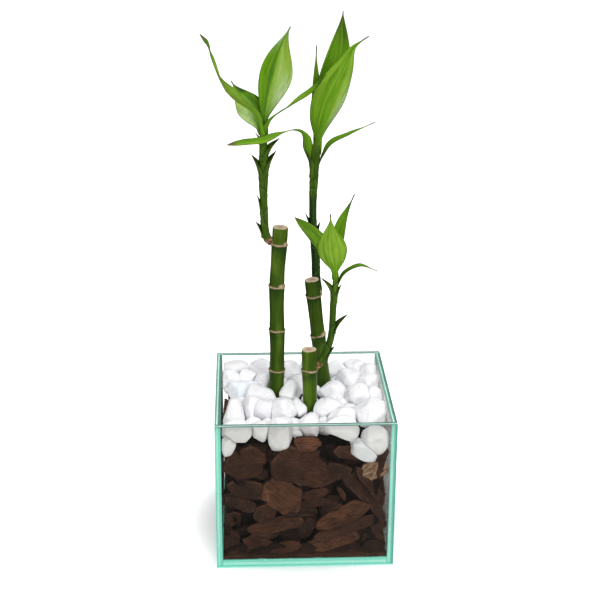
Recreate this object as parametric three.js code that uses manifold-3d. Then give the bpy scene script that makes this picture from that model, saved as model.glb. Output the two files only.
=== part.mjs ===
// Lucky bamboo: three cut canes with leafy side shoots, standing in bark chips under white
// pebbles, in a square box of glued glass panes. Millimetres, +Z up, +X right, -Y to the front.
// The origin is the centre of the underside of the box.

import * as THREE from 'three';
import { mergeVertices } from 'three/addons/utils/BufferGeometryUtils.js';
import Module from 'manifold-3d';

const wasm = await Module();
wasm.setup();

// Driving dimensions of the box, the filling and the clearances
const BOX_WIDTH = 120;
const BOX_HEIGHT = 107;
const PANE = 4;
const BASE = 5;
const INNER = BOX_WIDTH / 2 - PANE;
const GAP = 0.3;
const BARK_TOP = 90;
const PEBBLE_LEVEL = 99;

// Canes: axis points from the foot to the cut top, radius, and heights of the ring scars
const CANES = [
  {
    name: 'cane_left',
    radius: 5.25,
    axis: [[-17.9, 11.7, 8], [-17.6, 11.7, 95], [-17.0, 11.7, 130], [-17.2, 11.7, 178],
      [-15.4, 11.7, 208], [-14.8, 11.7, 220]],
    rings: [115.5, 145.5, 178, 208],
  },
  {
    name: 'cane_rear',
    radius: 5.1,
    axis: [[27.1, 27.2, 8], [16.8, 27.2, 96], [7.4, 27.2, 176.3]],
    rings: [135, 164.6],
  },
  {
    name: 'cane_front',
    radius: 5.1,
    axis: [[7.5, -11.3, 8], [5.1, -11.3, 96], [3.9, -11.3, 140.3]],
    rings: [125.2],
  },
];

// Shoots: [x, y, z, radius] along the stem, and bracts as [height, azimuth, length, lean, width]
const SHOOTS = [
  {
    name: 'shoot_left',
    cane: 'cane_left',
    path: [[-19.5, 11.7, 208.5, 2.4], [-23.2, 11.7, 211.5, 2.8], [-25.0, 11.7, 217, 2.6],
      [-25.5, 11.7, 226, 2.6], [-26.0, 11.7, 240, 2.5], [-26.0, 11.7, 254, 3.1],
      [-26.0, 11.7, 268, 2.9], [-26.1, 11.7, 280, 2.5], [-26.3, 12.2, 290, 1.1]],
    bracts: [[216, 200, 9, 39, 4.4], [224, 215, 7.5, 14, 4.4], [232, 205, 10, 22, 4.4],
      [256.5, 205, 15, 30, 6], [258.5, -25, 15.5, 30, 6], [269, -30, 16, 42, 6.5],
      [280, 215, 6.5, 52, 4]],
  },
  {
    name: 'shoot_rear',
    cane: 'cane_rear',
    path: [[12.2, 31.5, 161, 2.2], [12.6, 34.4, 165, 2.8], [11.0, 35.6, 176, 2.9],
      [10.5, 35.4, 190, 3.0], [8.6, 35, 211, 2.6], [8.2, 35, 231, 2.5], [8.6, 35, 243, 2.9],
      [9.0, 35, 256, 3.1], [9.9, 35, 266, 2.6], [10.6, 35, 276, 1.1]],
    bracts: [[173.5, 200, 8.5, 17, 4.4], [206, -20, 9, 20, 4.4], [211.5, 205, 11, 27, 4.4],
      [251, 215, 15, 21, 6.5]],
  },
  {
    name: 'shoot_front',
    cane: 'cane_front',
    path: [[8.2, -11.3, 126.2, 1.9], [11.4, -11.3, 130.2, 2.4], [15.8, -11.3, 139, 2.4],
      [18.7, -11.3, 149, 2.3], [19.5, -11.3, 160, 2.2], [19.8, -11.3, 172, 2.2],
      [20.8, -11.3, 183, 2.1], [21.3, -11.3, 192, 1.9], [21.4, -11.3, 200, 0.9]],
    bracts: [[135.5, -20, 8.5, 44, 4.4], [155, -20, 14, 42, 4.8], [175.5, 210, 6, 16, 4],
      [177, -35, 11, 24, 6], [180, 210, 15.5, 38, 6.5]],
  },
];

// Large leaves, innermost first on each shoot: spine points, full width, share of the width on
// the left of the midrib, where it is widest, fold in degrees, the azimuth that the underside
// faces, and the roll in degrees at the base, the middle and the tip
const LEAVES = [
  {
    name: 'leaf_left_upright',
    shoot: 'shoot_left',
    spine: [[-26.0, 13, 281], [-24.2, 17, 302], [-19.8, 20, 322.7], [-14.8, 21, 338],
      [-8.1, 19, 352.4]],
    width: 23, share: 0.4, widest: 0.55, rise: 2.4, fold: 24, facing: 90, roll: [0, 6, 0],
  },
  {
    name: 'leaf_left_broad',
    shoot: 'shoot_left',
    spine: [[-27.5, 12.5, 283], [-33, 17, 296], [-39.3, 20, 305.8], [-43.4, 23, 311.2],
      [-46.7, 25, 316]],
    width: 19, share: 0.5, widest: 0.46, fold: 14, facing: 105, roll: [0, 0, 0],
  },
  {
    name: 'leaf_left_right',
    shoot: 'shoot_left',
    spine: [[-25.2, 11, 282], [-20.8, 10.8, 293.5], [-7.4, 10, 303.4], [4.7, 9, 312],
      [14.2, 8, 323.5]],
    width: 6.5, share: 0.5, widest: 0.66, rise: 2.6, fold: 22, facing: 0, roll: [0, 0, 50],
  },
  {
    name: 'leaf_left_long',
    shoot: 'shoot_left',
    spine: [[-27.0, 10.5, 281], [-30.2, 8.5, 296], [-44, 3, 309], [-53.2, 0, 321.3],
      [-58.8, -3, 338.2], [-60.8, -4, 345.3], [-65.4, -5, 351.6]],
    width: 11, share: 0.5, widest: 0.42, rise: 1.5, fold: 20, facing: 230, roll: [0, 0, -130],
  },
  {
    name: 'leaf_rear_back',
    shoot: 'shoot_rear',
    spine: [[9.9, 36.5, 266], [14.5, 41, 292.4], [24, 46, 324], [26.8, 48, 343.5],
      [27.8, 49, 357.3]],
    width: 19, share: 0.5, widest: 0.55, fold: 16, facing: 90, roll: [0, 0, 0],
  },
  {
    name: 'leaf_rear_front',
    shoot: 'shoot_rear',
    spine: [[10.6, 34, 263], [12.8, 31, 288.2], [19.6, 29, 307.5], [27.2, 27, 323.7],
      [32.8, 26, 336.7], [37.8, 25, 341.4], [43, 24, 345.1]],
    width: 22.4, share: 0.52, widest: 0.46, rise: 1.9, fold: 18, facing: 270, roll: [0, 0, 0],
  },
  {
    name: 'leaf_rear_thin',
    shoot: 'shoot_rear',
    spine: [[8.8, 37, 266], [9.3, 41.5, 299.5], [9.7, 43, 320.6], [10.2, 44, 335.7]],
    width: 6, share: 0.5, widest: 0.5, fold: 20, facing: 120, roll: [0, 0, 0], stations: 8,
  },
  {
    name: 'leaf_rear_left',
    shoot: 'shoot_rear',
    spine: [[8.3, 34, 257], [5.8, 31.5, 278], [-0.4, 26, 283.6], [-12.9, 14, 282.3],
      [-27.2, 1, 281.9], [-38.6, -6, 282.6], [-49.5, -12, 282.7]],
    width: 6.4, share: 0.5, widest: 0.71, rise: 1.9, fold: 16, facing: 225, roll: [0, 0, -60],
  },
  {
    name: 'leaf_rear_right',
    shoot: 'shoot_rear',
    spine: [[11.6, 34.5, 256], [20.2, 33, 271.6], [31.3, 31, 278.3], [37.6, 30, 281.6],
      [49.1, 28, 287.4]],
    width: 8, share: 0.5, widest: 0.42, fold: 16, facing: 0, roll: [0, 10, 10],
  },
  {
    name: 'leaf_front_right',
    shoot: 'shoot_front',
    spine: [[21.6, -10, 192], [22.7, -7, 213.2], [25, -5, 226.8], [33.4, -2, 246.8]],
    width: 9, share: 0.5, widest: 0.47, fold: 16, facing: 60, roll: [0, 0, 0],
  },
  {
    name: 'leaf_front_left',
    shoot: 'shoot_front',
    spine: [[20.6, -12, 192], [15.2, -14, 208], [5.6, -17, 223], [-6.7, -20, 237]],
    width: 12.6, share: 0.5, widest: 0.62, fold: 16, facing: 250, roll: [0, 0, 0],
  },
  {
    name: 'leaf_front_broad',
    shoot: 'shoot_front',
    spine: [[21.2, -12.5, 190], [19.8, -16, 205.9], [17.4, -19, 220.8], [16.3, -22, 239.7]],
    width: 20, share: 0.48, widest: 0.46, rise: 2.1, fold: 14, facing: 270, roll: [0, 0, 0],
  },
  {
    name: 'leaf_front_low',
    shoot: 'shoot_front',
    spine: [[21.9, -11.3, 183], [27.6, -12, 194.8], [36.9, -14, 200], [48.3, -17, 198]],
    width: 5.5, share: 0.5, widest: 0.5, fold: 20, facing: 0, roll: [0, 0, 0],
  },
];

// Blade form shared by leaves and bracts
const BLADE_THICKNESS = 0.7;
const NECK_WIDTH = 5;
const TIP_WIDTH = 0.8;
const BLADE_RISE = 1.8;
const WRAP = 60;
const WRAP_SHARE = 0.25;

// Stretches of bark that stand higher than the rest: the pane that each lies against, in quarter
// turns from the front one, its ends along that pane, its depth and its top
const RAISED = [
  { turns: 0, left: -9, right: 11, depth: 6, top: 96 },
  { turns: 3, left: -3, right: 18, depth: 4.5, top: 100 },
];

// Pebbles from the front to the back: centre, half length, half width, half height, and in
// degrees the azimuth of the length and how far it rises
const PEBBLES = [
  [-51.5, -50, 89, 10, 6, 4.8, 0, 86], [-44.5, -48, 98.5, 11.5, 9, 6.5, 0, 0],
  [-30.5, -45, 97, 6.5, 9, 6, 0, 0], [-17, -47.5, 94.8, 13, 8.5, 10, 0, 88],
  [26, -31, 97.8, 13, 6, 6.2, 8, 0], [3, -39, 97.8, 12, 6, 6.2, 98, 10],
  [25.5, -47.5, 98, 18, 8.5, 8, 0, 0], [38.5, -49.5, 83.5, 22, 6.5, 6.8, 0, -24],
  [46, -47.5, 90.5, 9.5, 8.5, 9.5, 0, 0], [44, -28, 99.5, 13, 12, 8.5, 15, 8],
  [-47, -23, 98.5, 9, 9.5, 8.5, 0, 86], [-35, -14, 98, 11, 7, 7.5, 90, 0],
  [-26.5, -20, 99, 8, 6.5, 7, 90, 0], [-14, -22, 99, 11.5, 9.5, 8, 95, 0],
  [-8.5, 4, 100, 12, 6.5, 8, 85, 12], [-3, -17, 98, 10, 5, 6.5, 90, 0],
  [18, -19, 99, 11.5, 7.5, 7, 12, 0], [21.5, 8, 98.5, 11, 9, 6.5, 20, 5],
  [38.5, 0, 99.5, 9, 8.5, 8, 90, 0], [51, 3, 97, 7, 10, 7, 90, 0],
  [-42, 13, 97.8, 17, 8, 6.2, 8, 0], [-28, 3, 98.5, 13, 8, 7, 152, 15],
  [-50, 30, 99, 9, 8, 7, 70, 0], [-37, 33, 98.5, 10, 8, 7, 30, 0],
  [-25, 23, 99, 9, 9, 7.5, 100, 0], [-27, 48, 98.5, 11, 8, 7, 15, 10],
  [-46, 49, 98, 11, 8, 7, 160, 0], [-8, 43, 98.5, 9, 8, 7.5, 50, 0],
  [-1, 19, 98.5, 9, 8, 7.5, 110, 0], [27, 45, 98, 9, 8, 7.5, 20, 0],
  [40, 48, 97.5, 10, 8, 7.5, 140, 0], [51, 40, 97, 9, 7, 7.5, 80, 0],
  [35, 27, 98, 11, 9, 8, 60, 0], [48, 22, 97, 9, 8, 7.5, 20, 10],
  [10, 48, 98.5, 10, 8, 7.5, 0, 0],
];

// Flat sides worn on some of the pebbles at the front, by pebble number: the direction that each
// faces, in degrees from +X up to +Z, and its distance from the centre
const FLAT_SIDES = {
  1: [[-29, 4.7]],
  3: [[-124, 3.8]],
  4: [[-48, 8.1], [-168, 8.4]],
  7: [[-115, 3.6]],
  8: [[-123, 5.2]],
  11: [[162, 6.4], [15, 6.2]],
};

const group = new THREE.Group();

// Colours and finishes
const FINISH = {
  glass: new THREE.MeshStandardMaterial({ color: 0xb9e6da, roughness: 0.05, metalness: 0 }),
  cane: new THREE.MeshStandardMaterial({ color: 0x3f7a26, roughness: 0.4, metalness: 0 }),
  shoot: new THREE.MeshStandardMaterial({ color: 0x4f8c2c, roughness: 0.45, metalness: 0 }),
  leaf: new THREE.MeshStandardMaterial({ color: 0x6fb32c, roughness: 0.4, metalness: 0 }),
  bark: new THREE.MeshStandardMaterial({ color: 0x5a3325, roughness: 0.9, metalness: 0 }),
  pebble: new THREE.MeshStandardMaterial({ color: 0xf2f2f4, roughness: 0.6, metalness: 0 }),
};

function addPiece(name, geometry, finish) {
  const mesh = new THREE.Mesh(geometry, FINISH[finish].clone());
  mesh.name = name;
  group.add(mesh);
  return mesh;
}

// Repeatable random numbers from 0 to 1
function randomFrom(seed) {
  let state = seed;
  return () => {
    state = (state * 16807) % 2147483647;
    return state / 2147483647;
  };
}

// Solids for joining and cutting
function solidOf(geometry) {
  const bare = geometry.clone();
  bare.deleteAttribute('normal');
  bare.deleteAttribute('uv');
  const merged = mergeVertices(bare, 1e-4);
  return new wasm.Manifold(new wasm.Mesh({
    numProp: 3,
    vertProperties: new Float32Array(merged.attributes.position.array),
    triVerts: new Uint32Array(merged.index.array),
  }));
}

function geometryOf(solid) {
  const mesh = solid.getMesh();
  const geometry = new THREE.BufferGeometry();
  geometry.setAttribute('position', new THREE.BufferAttribute(new Float32Array(mesh.vertProperties), 3));
  geometry.setIndex(new THREE.BufferAttribute(new Uint32Array(mesh.triVerts), 1));
  geometry.computeVertexNormals();
  return geometry;
}

function largestPart(solid) {
  const parts = solid.decompose();
  return parts.reduce((best, part) => (part.volume() > best.volume() ? part : best));
}

function meshFrom(points, triangles) {
  const geometry = new THREE.BufferGeometry().setFromPoints(points);
  geometry.setIndex(triangles);
  geometry.computeVertexNormals();
  return geometry;
}

// Closed solid through a row of rings with equal counts, with flat ends
function loft(rings) {
  const sides = rings[0].length;
  const last = rings.length - 1;
  const points = rings.flat();
  const middleOf = (ring) => ring.reduce((sum, p) => sum.add(p), new THREE.Vector3()).divideScalar(sides);
  const foot = points.push(middleOf(rings[0])) - 1;
  const head = points.push(middleOf(rings[last])) - 1;
  const triangles = [];
  for (let j = 0; j < sides; j += 1) {
    const next = (j + 1) % sides;
    for (let i = 0; i < last; i += 1) {
      const a = i * sides + j;
      const b = i * sides + next;
      triangles.push(a, b, b + sides, a, b + sides, a + sides);
    }
    triangles.push(foot, next, j);
    triangles.push(head, last * sides + j, last * sides + next);
  }
  return meshFrom(points, triangles);
}

// Ring of points round a centre, square to the tangent, starting on the +X side
function ringAt(centre, tangent, radius, sides) {
  const across = new THREE.Vector3(1, 0, 0).addScaledVector(tangent, -tangent.x).normalize();
  const back = new THREE.Vector3().crossVectors(tangent, across);
  return Array.from({ length: sides }, (_, j) => {
    const angle = (j / sides) * 2 * Math.PI;
    return centre.clone()
      .addScaledVector(across, radius * Math.cos(angle))
      .addScaledVector(back, radius * Math.sin(angle));
  });
}

function curveThrough(points) {
  const knots = points.map(([x, y, z]) => new THREE.Vector3(x, y, z));
  return new THREE.CatmullRomCurve3(knots, false, 'centripetal');
}

// Share of a curve's length at which it reaches a height
function shareAtHeight(curve, height) {
  let low = 0;
  let high = 1;
  for (let i = 0; i < 30; i += 1) {
    const middle = (low + high) / 2;
    if (curve.getPointAt(middle).z < height) {
      low = middle;
    } else {
      high = middle;
    }
  }
  return (low + high) / 2;
}

// Glass box: front and back panes cover the ends of the side panes, the base lies between them
function buildBox() {
  const middle = BOX_WIDTH / 2 - PANE / 2;
  const pane = (name, size, place) => {
    const mesh = addPiece(name, new THREE.BoxGeometry(...size), 'glass');
    mesh.position.set(...place);
  };
  pane('glass_front', [BOX_WIDTH, PANE, BOX_HEIGHT], [0, -middle, BOX_HEIGHT / 2]);
  pane('glass_back', [BOX_WIDTH, PANE, BOX_HEIGHT], [0, middle, BOX_HEIGHT / 2]);
  pane('glass_left', [PANE, 2 * INNER, BOX_HEIGHT], [-middle, 0, BOX_HEIGHT / 2]);
  pane('glass_right', [PANE, 2 * INNER, BOX_HEIGHT], [middle, 0, BOX_HEIGHT / 2]);
  pane('glass_base', [2 * INNER, 2 * INNER, BASE], [0, 0, BASE / 2]);
}

// Cane: waisted between its ring scars, which stand proud as low ridges, and cut square on top
const CANE_SIDES = 14;
const RING_RIDGE = 0.45;
const RING_HALF = 0.6;
const WAIST = 0.2;
const CUT_BEVEL = 0.4;

function caneGeometry(cane, grow) {
  const curve = curveThrough(cane.axis);
  const top = cane.axis[cane.axis.length - 1][2];
  const foot = cane.axis[0][2];
  const stations = [[foot - grow, cane.radius], [cane.rings[0] - 22, cane.radius]];
  cane.rings.forEach((height, i) => {
    const above = i + 1 < cane.rings.length ? cane.rings[i + 1] : top;
    stations.push([height - 3, cane.radius]);
    stations.push([height - RING_HALF, cane.radius + RING_RIDGE]);
    stations.push([height + RING_HALF, cane.radius + RING_RIDGE]);
    stations.push([height + 2, cane.radius - WAIST / 2]);
    if (above - height > 14) {
      stations.push([height + 0.4 * (above - height), cane.radius - WAIST]);
    }
  });
  stations.push([top - CUT_BEVEL, cane.radius]);
  stations.push([top, cane.radius - CUT_BEVEL]);
  const rings = stations.map(([height, radius]) => {
    const share = shareAtHeight(curve, height);
    const centre = curve.getPointAt(share);
    centre.z = height;
    return ringAt(centre, curve.getTangentAt(share), radius + grow, CANE_SIDES);
  });
  return loft(rings);
}

// Leaf or bract: a folded blade with a neck at its root and a drawn-out tip, the same triangles
// on both faces
function bladeGeometry(blade, grow = 0) {
  const { stations = 12, strips = 4, rise = BLADE_RISE } = blade;
  const curve = curveThrough(blade.spine);
  const facing = THREE.MathUtils.degToRad(blade.facing);
  const level = new THREE.Vector3(-Math.sin(facing), Math.cos(facing), 0);
  const neck = Math.min(blade.width * 0.55, NECK_WIDTH);
  const fall = rise * (1 - blade.widest) / blade.widest;
  const half = BLADE_THICKNESS / 2 + grow;
  const upper = [];
  const under = [];
  for (let i = 0; i <= stations; i += 1) {
    const u = i / stations;
    const tangent = curve.getTangentAt(u);
    const centre = curve.getPointAt(u);
    const [base, middle, tip] = blade.roll;
    const roll = u < 0.5 ? base + (middle - base) * 2 * u : middle + (tip - middle) * (2 * u - 1);
    const side = level.clone().addScaledVector(tangent, -level.dot(tangent)).normalize()
      .applyAxisAngle(tangent, THREE.MathUtils.degToRad(roll));
    const inward = new THREE.Vector3().crossVectors(tangent, side);
    const body = (u / blade.widest) ** rise * ((1 - u) / (1 - blade.widest)) ** fall;
    const width = Math.max(blade.width * body, neck * (1 - 2.5 * u), TIP_WIDTH) + 2 * grow;
    const wrap = Math.max(0, 1 - u / WRAP_SHARE);
    const fold = THREE.MathUtils.degToRad(blade.fold + (WRAP - blade.fold) * wrap);
    for (let j = 0; j <= strips; j += 1) {
      const v = 2 * j / strips - 1;
      const reach = width * (v < 0 ? 1 - blade.share : blade.share);
      const point = centre.clone()
        .addScaledVector(side, v * reach * Math.cos(fold))
        .addScaledVector(inward, Math.abs(v) ** 1.4 * reach * Math.sin(fold));
      const normal = inward.clone().multiplyScalar(Math.cos(v * fold))
        .addScaledVector(side, -Math.sin(v * fold));
      upper.push(point.clone().addScaledVector(normal, half));
      under.push(point.clone().addScaledVector(normal, -half));
    }
  }
  return meshFrom([...upper, ...under], bladeTriangles(stations, strips));
}

function bladeTriangles(stations, strips) {
  const row = strips + 1;
  const below = row * (stations + 1);
  const triangles = [];
  const quad = (a, b, c, d) => triangles.push(a, b, c, a, c, d);
  for (let i = 0; i < stations; i += 1) {
    for (let j = 0; j < strips; j += 1) {
      const a = i * row + j;
      quad(a, a + row, a + row + 1, a + 1);
      triangles.push(below + a, below + a + row + 1, below + a + row);
      triangles.push(below + a, below + a + 1, below + a + row + 1);
    }
    const near = i * row;
    const far = near + strips;
    quad(near, below + near, below + near + row, near + row);
    quad(far, far + row, below + far + row, below + far);
  }
  const end = stations * row;
  for (let j = 0; j < strips; j += 1) {
    quad(j, j + 1, below + j + 1, below + j);
    quad(end + j, below + end + j, below + end + j + 1, end + j + 1);
  }
  return triangles;
}

// Shoot stem of changing thickness
const SHOOT_SIDES = 8;

function stemGeometry(shoot, grow) {
  const curve = curveThrough(shoot.path);
  const count = 2 * (shoot.path.length - 1);
  const rings = Array.from({ length: count + 1 }, (_, i) => {
    const t = i / count;
    const place = t * (shoot.path.length - 1);
    const low = Math.min(Math.floor(place), shoot.path.length - 2);
    const radius = THREE.MathUtils.lerp(shoot.path[low][3], shoot.path[low + 1][3], place - low);
    return ringAt(curve.getPoint(t), curve.getTangent(t), radius + grow, SHOOT_SIDES);
  });
  return loft(rings);
}

// Small pointed scale that grows out of the stem, its root sunk in the stem
function bractGeometry(shoot, [height, azimuth, length, lean, width]) {
  const curve = curveThrough(shoot.path);
  const foot = curve.getPointAt(shareAtHeight(curve, height));
  const angle = THREE.MathUtils.degToRad(azimuth);
  const out = new THREE.Vector3(Math.cos(angle), Math.sin(angle), 0);
  const slope = THREE.MathUtils.degToRad(lean);
  const pointAt = (share, swing) => foot.clone()
    .addScaledVector(out, 1.2 + length * share * Math.sin(slope) * swing)
    .add(new THREE.Vector3(0, 0, length * share * Math.cos(slope)));
  const spine = [pointAt(0, 1), pointAt(0.5, 0.85), pointAt(1, 1)].map((p) => p.toArray());
  return bladeGeometry({
    spine, width, share: 0.5, widest: 0.35, fold: 38, facing: azimuth, roll: [0, 0, 0],
    stations: 4, strips: 2,
  });
}

// Canes, shoots and leaves, each cut clear of what it grows from and of the leaves inside it
function buildPlants() {
  const canes = new Map();
  CANES.forEach((cane) => {
    addPiece(cane.name, caneGeometry(cane, 0), 'cane');
    canes.set(cane.name, solidOf(caneGeometry(cane, GAP)));
  });
  const stems = new Map();
  SHOOTS.forEach((shoot) => {
    const scales = shoot.bracts.map((bract) => solidOf(bractGeometry(shoot, bract)));
    const whole = scales.reduce((sum, scale) => sum.add(scale), solidOf(stemGeometry(shoot, 0)));
    const fitted = largestPart(whole.subtract(canes.get(shoot.cane)));
    addPiece(shoot.name, geometryOf(fitted), 'shoot');
    const room = shoot.bracts.reduce(
      (sum, bract) => sum.add(solidOf(bractGeometry(shoot, bract))),
      solidOf(stemGeometry(shoot, GAP)),
    );
    stems.set(shoot.name, room);
  });
  const grown = [];
  LEAVES.forEach((leaf) => {
    let blade = solidOf(bladeGeometry(leaf)).subtract(stems.get(leaf.shoot));
    grown.filter((other) => other.shoot === leaf.shoot).forEach((other) => {
      blade = blade.subtract(other.room);
    });
    addPiece(leaf.name, geometryOf(largestPart(blade)), 'leaf');
    grown.push({ shoot: leaf.shoot, room: solidOf(bladeGeometry(leaf, GAP)) });
  });
}

// Pebbles: each an ellipsoid with a few worn flats, held back by a plane to every neighbour, to
// the glass, to the bark below and to the canes
const WORN_FLATS = 5;
const SHARPNESS = 14;
const SWELL = 1.22;
const SUNK_DEPTH = 4;
const DOWN = new THREE.Vector3(0, 0, -1);

// Room of a raised stretch of bark
function raisedBox({ turns, left, right, depth, top }) {
  const low = new THREE.Vector3(left, -INNER, BASE);
  const high = new THREE.Vector3(right, depth - INNER, top);
  return new THREE.Box3(low, high).applyMatrix4(new THREE.Matrix4().makeRotationZ(turns * Math.PI / 2));
}

function caneSpots() {
  return CANES.map((cane) => {
    const curve = curveThrough(cane.axis);
    const spot = curve.getPointAt(shareAtHeight(curve, PEBBLE_LEVEL));
    return { x: spot.x, y: spot.y, radius: cane.radius };
  });
}

// How far a stone's ellipsoid reaches from its centre in a direction
function reachAlong(stone, way) {
  return 1 / way.clone().applyQuaternion(stone.turn).divide(stone.reach).length();
}

function pebbleStones(random) {
  const upright = new THREE.Vector3(0, 0, 1);
  const across = new THREE.Vector3(0, 1, 0);
  return PEBBLES.map(([x, y, z, length, width, height, azimuth, rise], i) => {
    const spin = new THREE.Quaternion().setFromAxisAngle(upright, -THREE.MathUtils.degToRad(azimuth));
    const turn = new THREE.Quaternion().setFromAxisAngle(across, THREE.MathUtils.degToRad(rise));
    const reach = new THREE.Vector3(length, width, height).multiplyScalar(SWELL);
    const stone = { x, y, z, turn: turn.multiply(spin), reach };
    stone.sunk = z - reachAlong(stone, DOWN) < BARK_TOP - SUNK_DEPTH;
    stone.flats = Array.from({ length: WORN_FLATS }, () => ({
      normal: new THREE.Vector3(random() - 0.5, random() - 0.5, random() - 0.5).normalize(),
      distance: Math.min(width, height) * (1.1 + 0.4 * random()),
    }));
    (FLAT_SIDES[i + 1] ?? []).forEach(([degrees, distance]) => {
      const angle = THREE.MathUtils.degToRad(degrees);
      stone.flats.push({ normal: new THREE.Vector3(Math.cos(angle), 0, Math.sin(angle)), distance });
    });
    return stone;
  });
}

// Planes that hold a pebble back, as outward normals and distances from its centre. A sunk
// pebble presses into the bark, which is cut clear of it.
function pebblePlanes(stone, stones, spots) {
  const planes = [];
  const add = (x, y, z, distance) => planes.push({ normal: new THREE.Vector3(x, y, z), distance });
  add(1, 0, 0, INNER - GAP - stone.x);
  add(-1, 0, 0, INNER - GAP + stone.x);
  add(0, 1, 0, INNER - GAP - stone.y);
  add(0, -1, 0, INNER - GAP + stone.y);
  if (!stone.sunk) {
    add(0, 0, -1, stone.z - BARK_TOP - GAP);
  }
  const way = new THREE.Vector3();
  RAISED.forEach((stretch) => {
    raisedBox(stretch).clampPoint(way.set(stone.x, stone.y, stone.z), way);
    way.set(way.x - stone.x, way.y - stone.y, way.z - stone.z);
    const beside = way.length();
    add(way.x / beside, way.y / beside, way.z / beside, beside - GAP);
  });
  stones.filter((other) => other !== stone).forEach((other) => {
    way.set(other.x - stone.x, other.y - stone.y, other.z - stone.z);
    const away = way.length();
    way.normalize();
    const own = reachAlong(stone, way);
    add(way.x, way.y, way.z, away * own / (own + reachAlong(other, way)) - GAP / 2);
  });
  spots.forEach((spot) => {
    const away = Math.hypot(spot.x - stone.x, spot.y - stone.y);
    const reach = away - spot.radius - RING_RIDGE - GAP;
    add((spot.x - stone.x) / away, (spot.y - stone.y) / away, 0, reach);
  });
  return planes;
}

function pebbleGeometry(stone, planes, grow) {
  const limits = [...planes, ...stone.flats];
  const geometry = new THREE.IcosahedronGeometry(1, 2);
  const position = geometry.attributes.position;
  const way = new THREE.Vector3();
  for (let i = 0; i < position.count; i += 1) {
    way.fromBufferAttribute(position, i).normalize();
    const total = limits.reduce((sum, limit) => {
      const closing = Math.max(0, way.dot(limit.normal)) / limit.distance;
      return sum + closing ** SHARPNESS;
    }, reachAlong(stone, way) ** -SHARPNESS);
    const radius = total ** (-1 / SHARPNESS) + grow;
    position.setXYZ(i, stone.x + way.x * radius, stone.y + way.y * radius, stone.z + way.z * radius);
  }
  geometry.deleteAttribute('normal');
  geometry.deleteAttribute('uv');
  const merged = mergeVertices(geometry, 1e-4);
  merged.computeVertexNormals();
  return merged;
}

// Adds the pebbles and returns the room that the sunk ones need in the bark
function buildPebbles() {
  const stones = pebbleStones(randomFrom(4127));
  const spots = caneSpots();
  const pockets = [];
  stones.forEach((stone, i) => {
    const planes = pebblePlanes(stone, stones, spots);
    addPiece(`pebble_${String(i + 1).padStart(2, '0')}`, pebbleGeometry(stone, planes, 0), 'pebble');
    if (stone.sunk) {
      pockets.push(solidOf(pebbleGeometry(stone, planes, GAP)));
    }
  });
  return pockets;
}

// Bark: flat chips with few corners against the four panes, sunk in a core that fills the middle
const CORE_INSET = 7;
const CHIP_ROWS = 3;
const CHIP_COLUMNS = 3;
const EDGE = INNER - GAP;

// Chips against the front pane: place along the pane, height, length, width, spin and tilt in
// degrees
const FRONT_CHIPS = [
  [-40, 71, 30, 26, 25, 6], [-4, 70, 40, 27, -10, 4], [21, 64, 20, 18, 30, 20],
  [-17, 55, 27, 25, -38, -8], [6, 50, 26, 15, 4, 25], [-27, 40, 17, 15, 40, 0],
  [-21, 30, 40, 15, 8, 40], [24, 38, 42, 17, 22, 30], [28, 26, 50, 16, 18, 45],
  [17, 15, 42, 17, 8, 50], [44, 14, 22, 15, 30, 20], [-14, 12, 30, 12, 8, 40],
  [-47, 18, 20, 17, 70, 5], [-41, 53, 28, 16, -15, 30], [-44, 43, 26, 14, -25, 40],
  [-46, 32, 20, 18, 10, 10], [31, 79, 26, 12, -6, 35], [35, 64, 38, 14, -48, 15],
  [48, 66, 24, 16, 62, 5], [47, 42, 24, 20, -50, 10], [-35, 12, 20, 12, 0, 30],
  [4, 36, 24, 14, 12, 35], [50, 28, 16, 18, 80, 0], [-24, 77, 22, 12, 10, 20],
];

function chipGeometry(length, width, thickness, random) {
  const corners = 6;
  const outline = Array.from({ length: corners }, (_, i) => {
    const angle = ((i + 0.4 * (random() - 0.5)) / corners) * 2 * Math.PI;
    const reach = 0.5 * (0.9 + 0.3 * random());
    return new THREE.Vector2(length * reach * Math.cos(angle), width * reach * Math.sin(angle));
  });
  const geometry = new THREE.ExtrudeGeometry(new THREE.Shape(outline), {
    depth: thickness,
    bevelEnabled: false,
  });
  geometry.translate(0, 0, -thickness);
  return geometry;
}

// Turns a chip from lying on the outward face, moves it against the pane and keeps it in the box
function placeChip(geometry, { spin, tilt, along, height, back, high, left = -EDGE, right = EDGE }) {
  geometry.rotateZ(spin);
  geometry.rotateX(Math.PI / 2 + tilt);
  geometry.computeBoundingBox();
  const { min, max } = geometry.boundingBox;
  const x = THREE.MathUtils.clamp(along, left - min.x, right - max.x);
  const z = THREE.MathUtils.clamp(height, BASE + GAP - min.z, high - max.z);
  geometry.translate(x, back - EDGE - min.y, z);
  return geometry;
}

function frontChips(random) {
  return FRONT_CHIPS.map(([along, height, length, width, spin, tilt]) => placeChip(
    chipGeometry(length, width, 4 + 2 * random(), random),
    {
      spin: THREE.MathUtils.degToRad(spin),
      tilt: THREE.MathUtils.degToRad(tilt),
      along,
      height,
      back: 2 * random(),
      high: BARK_TOP,
    },
  ));
}

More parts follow.
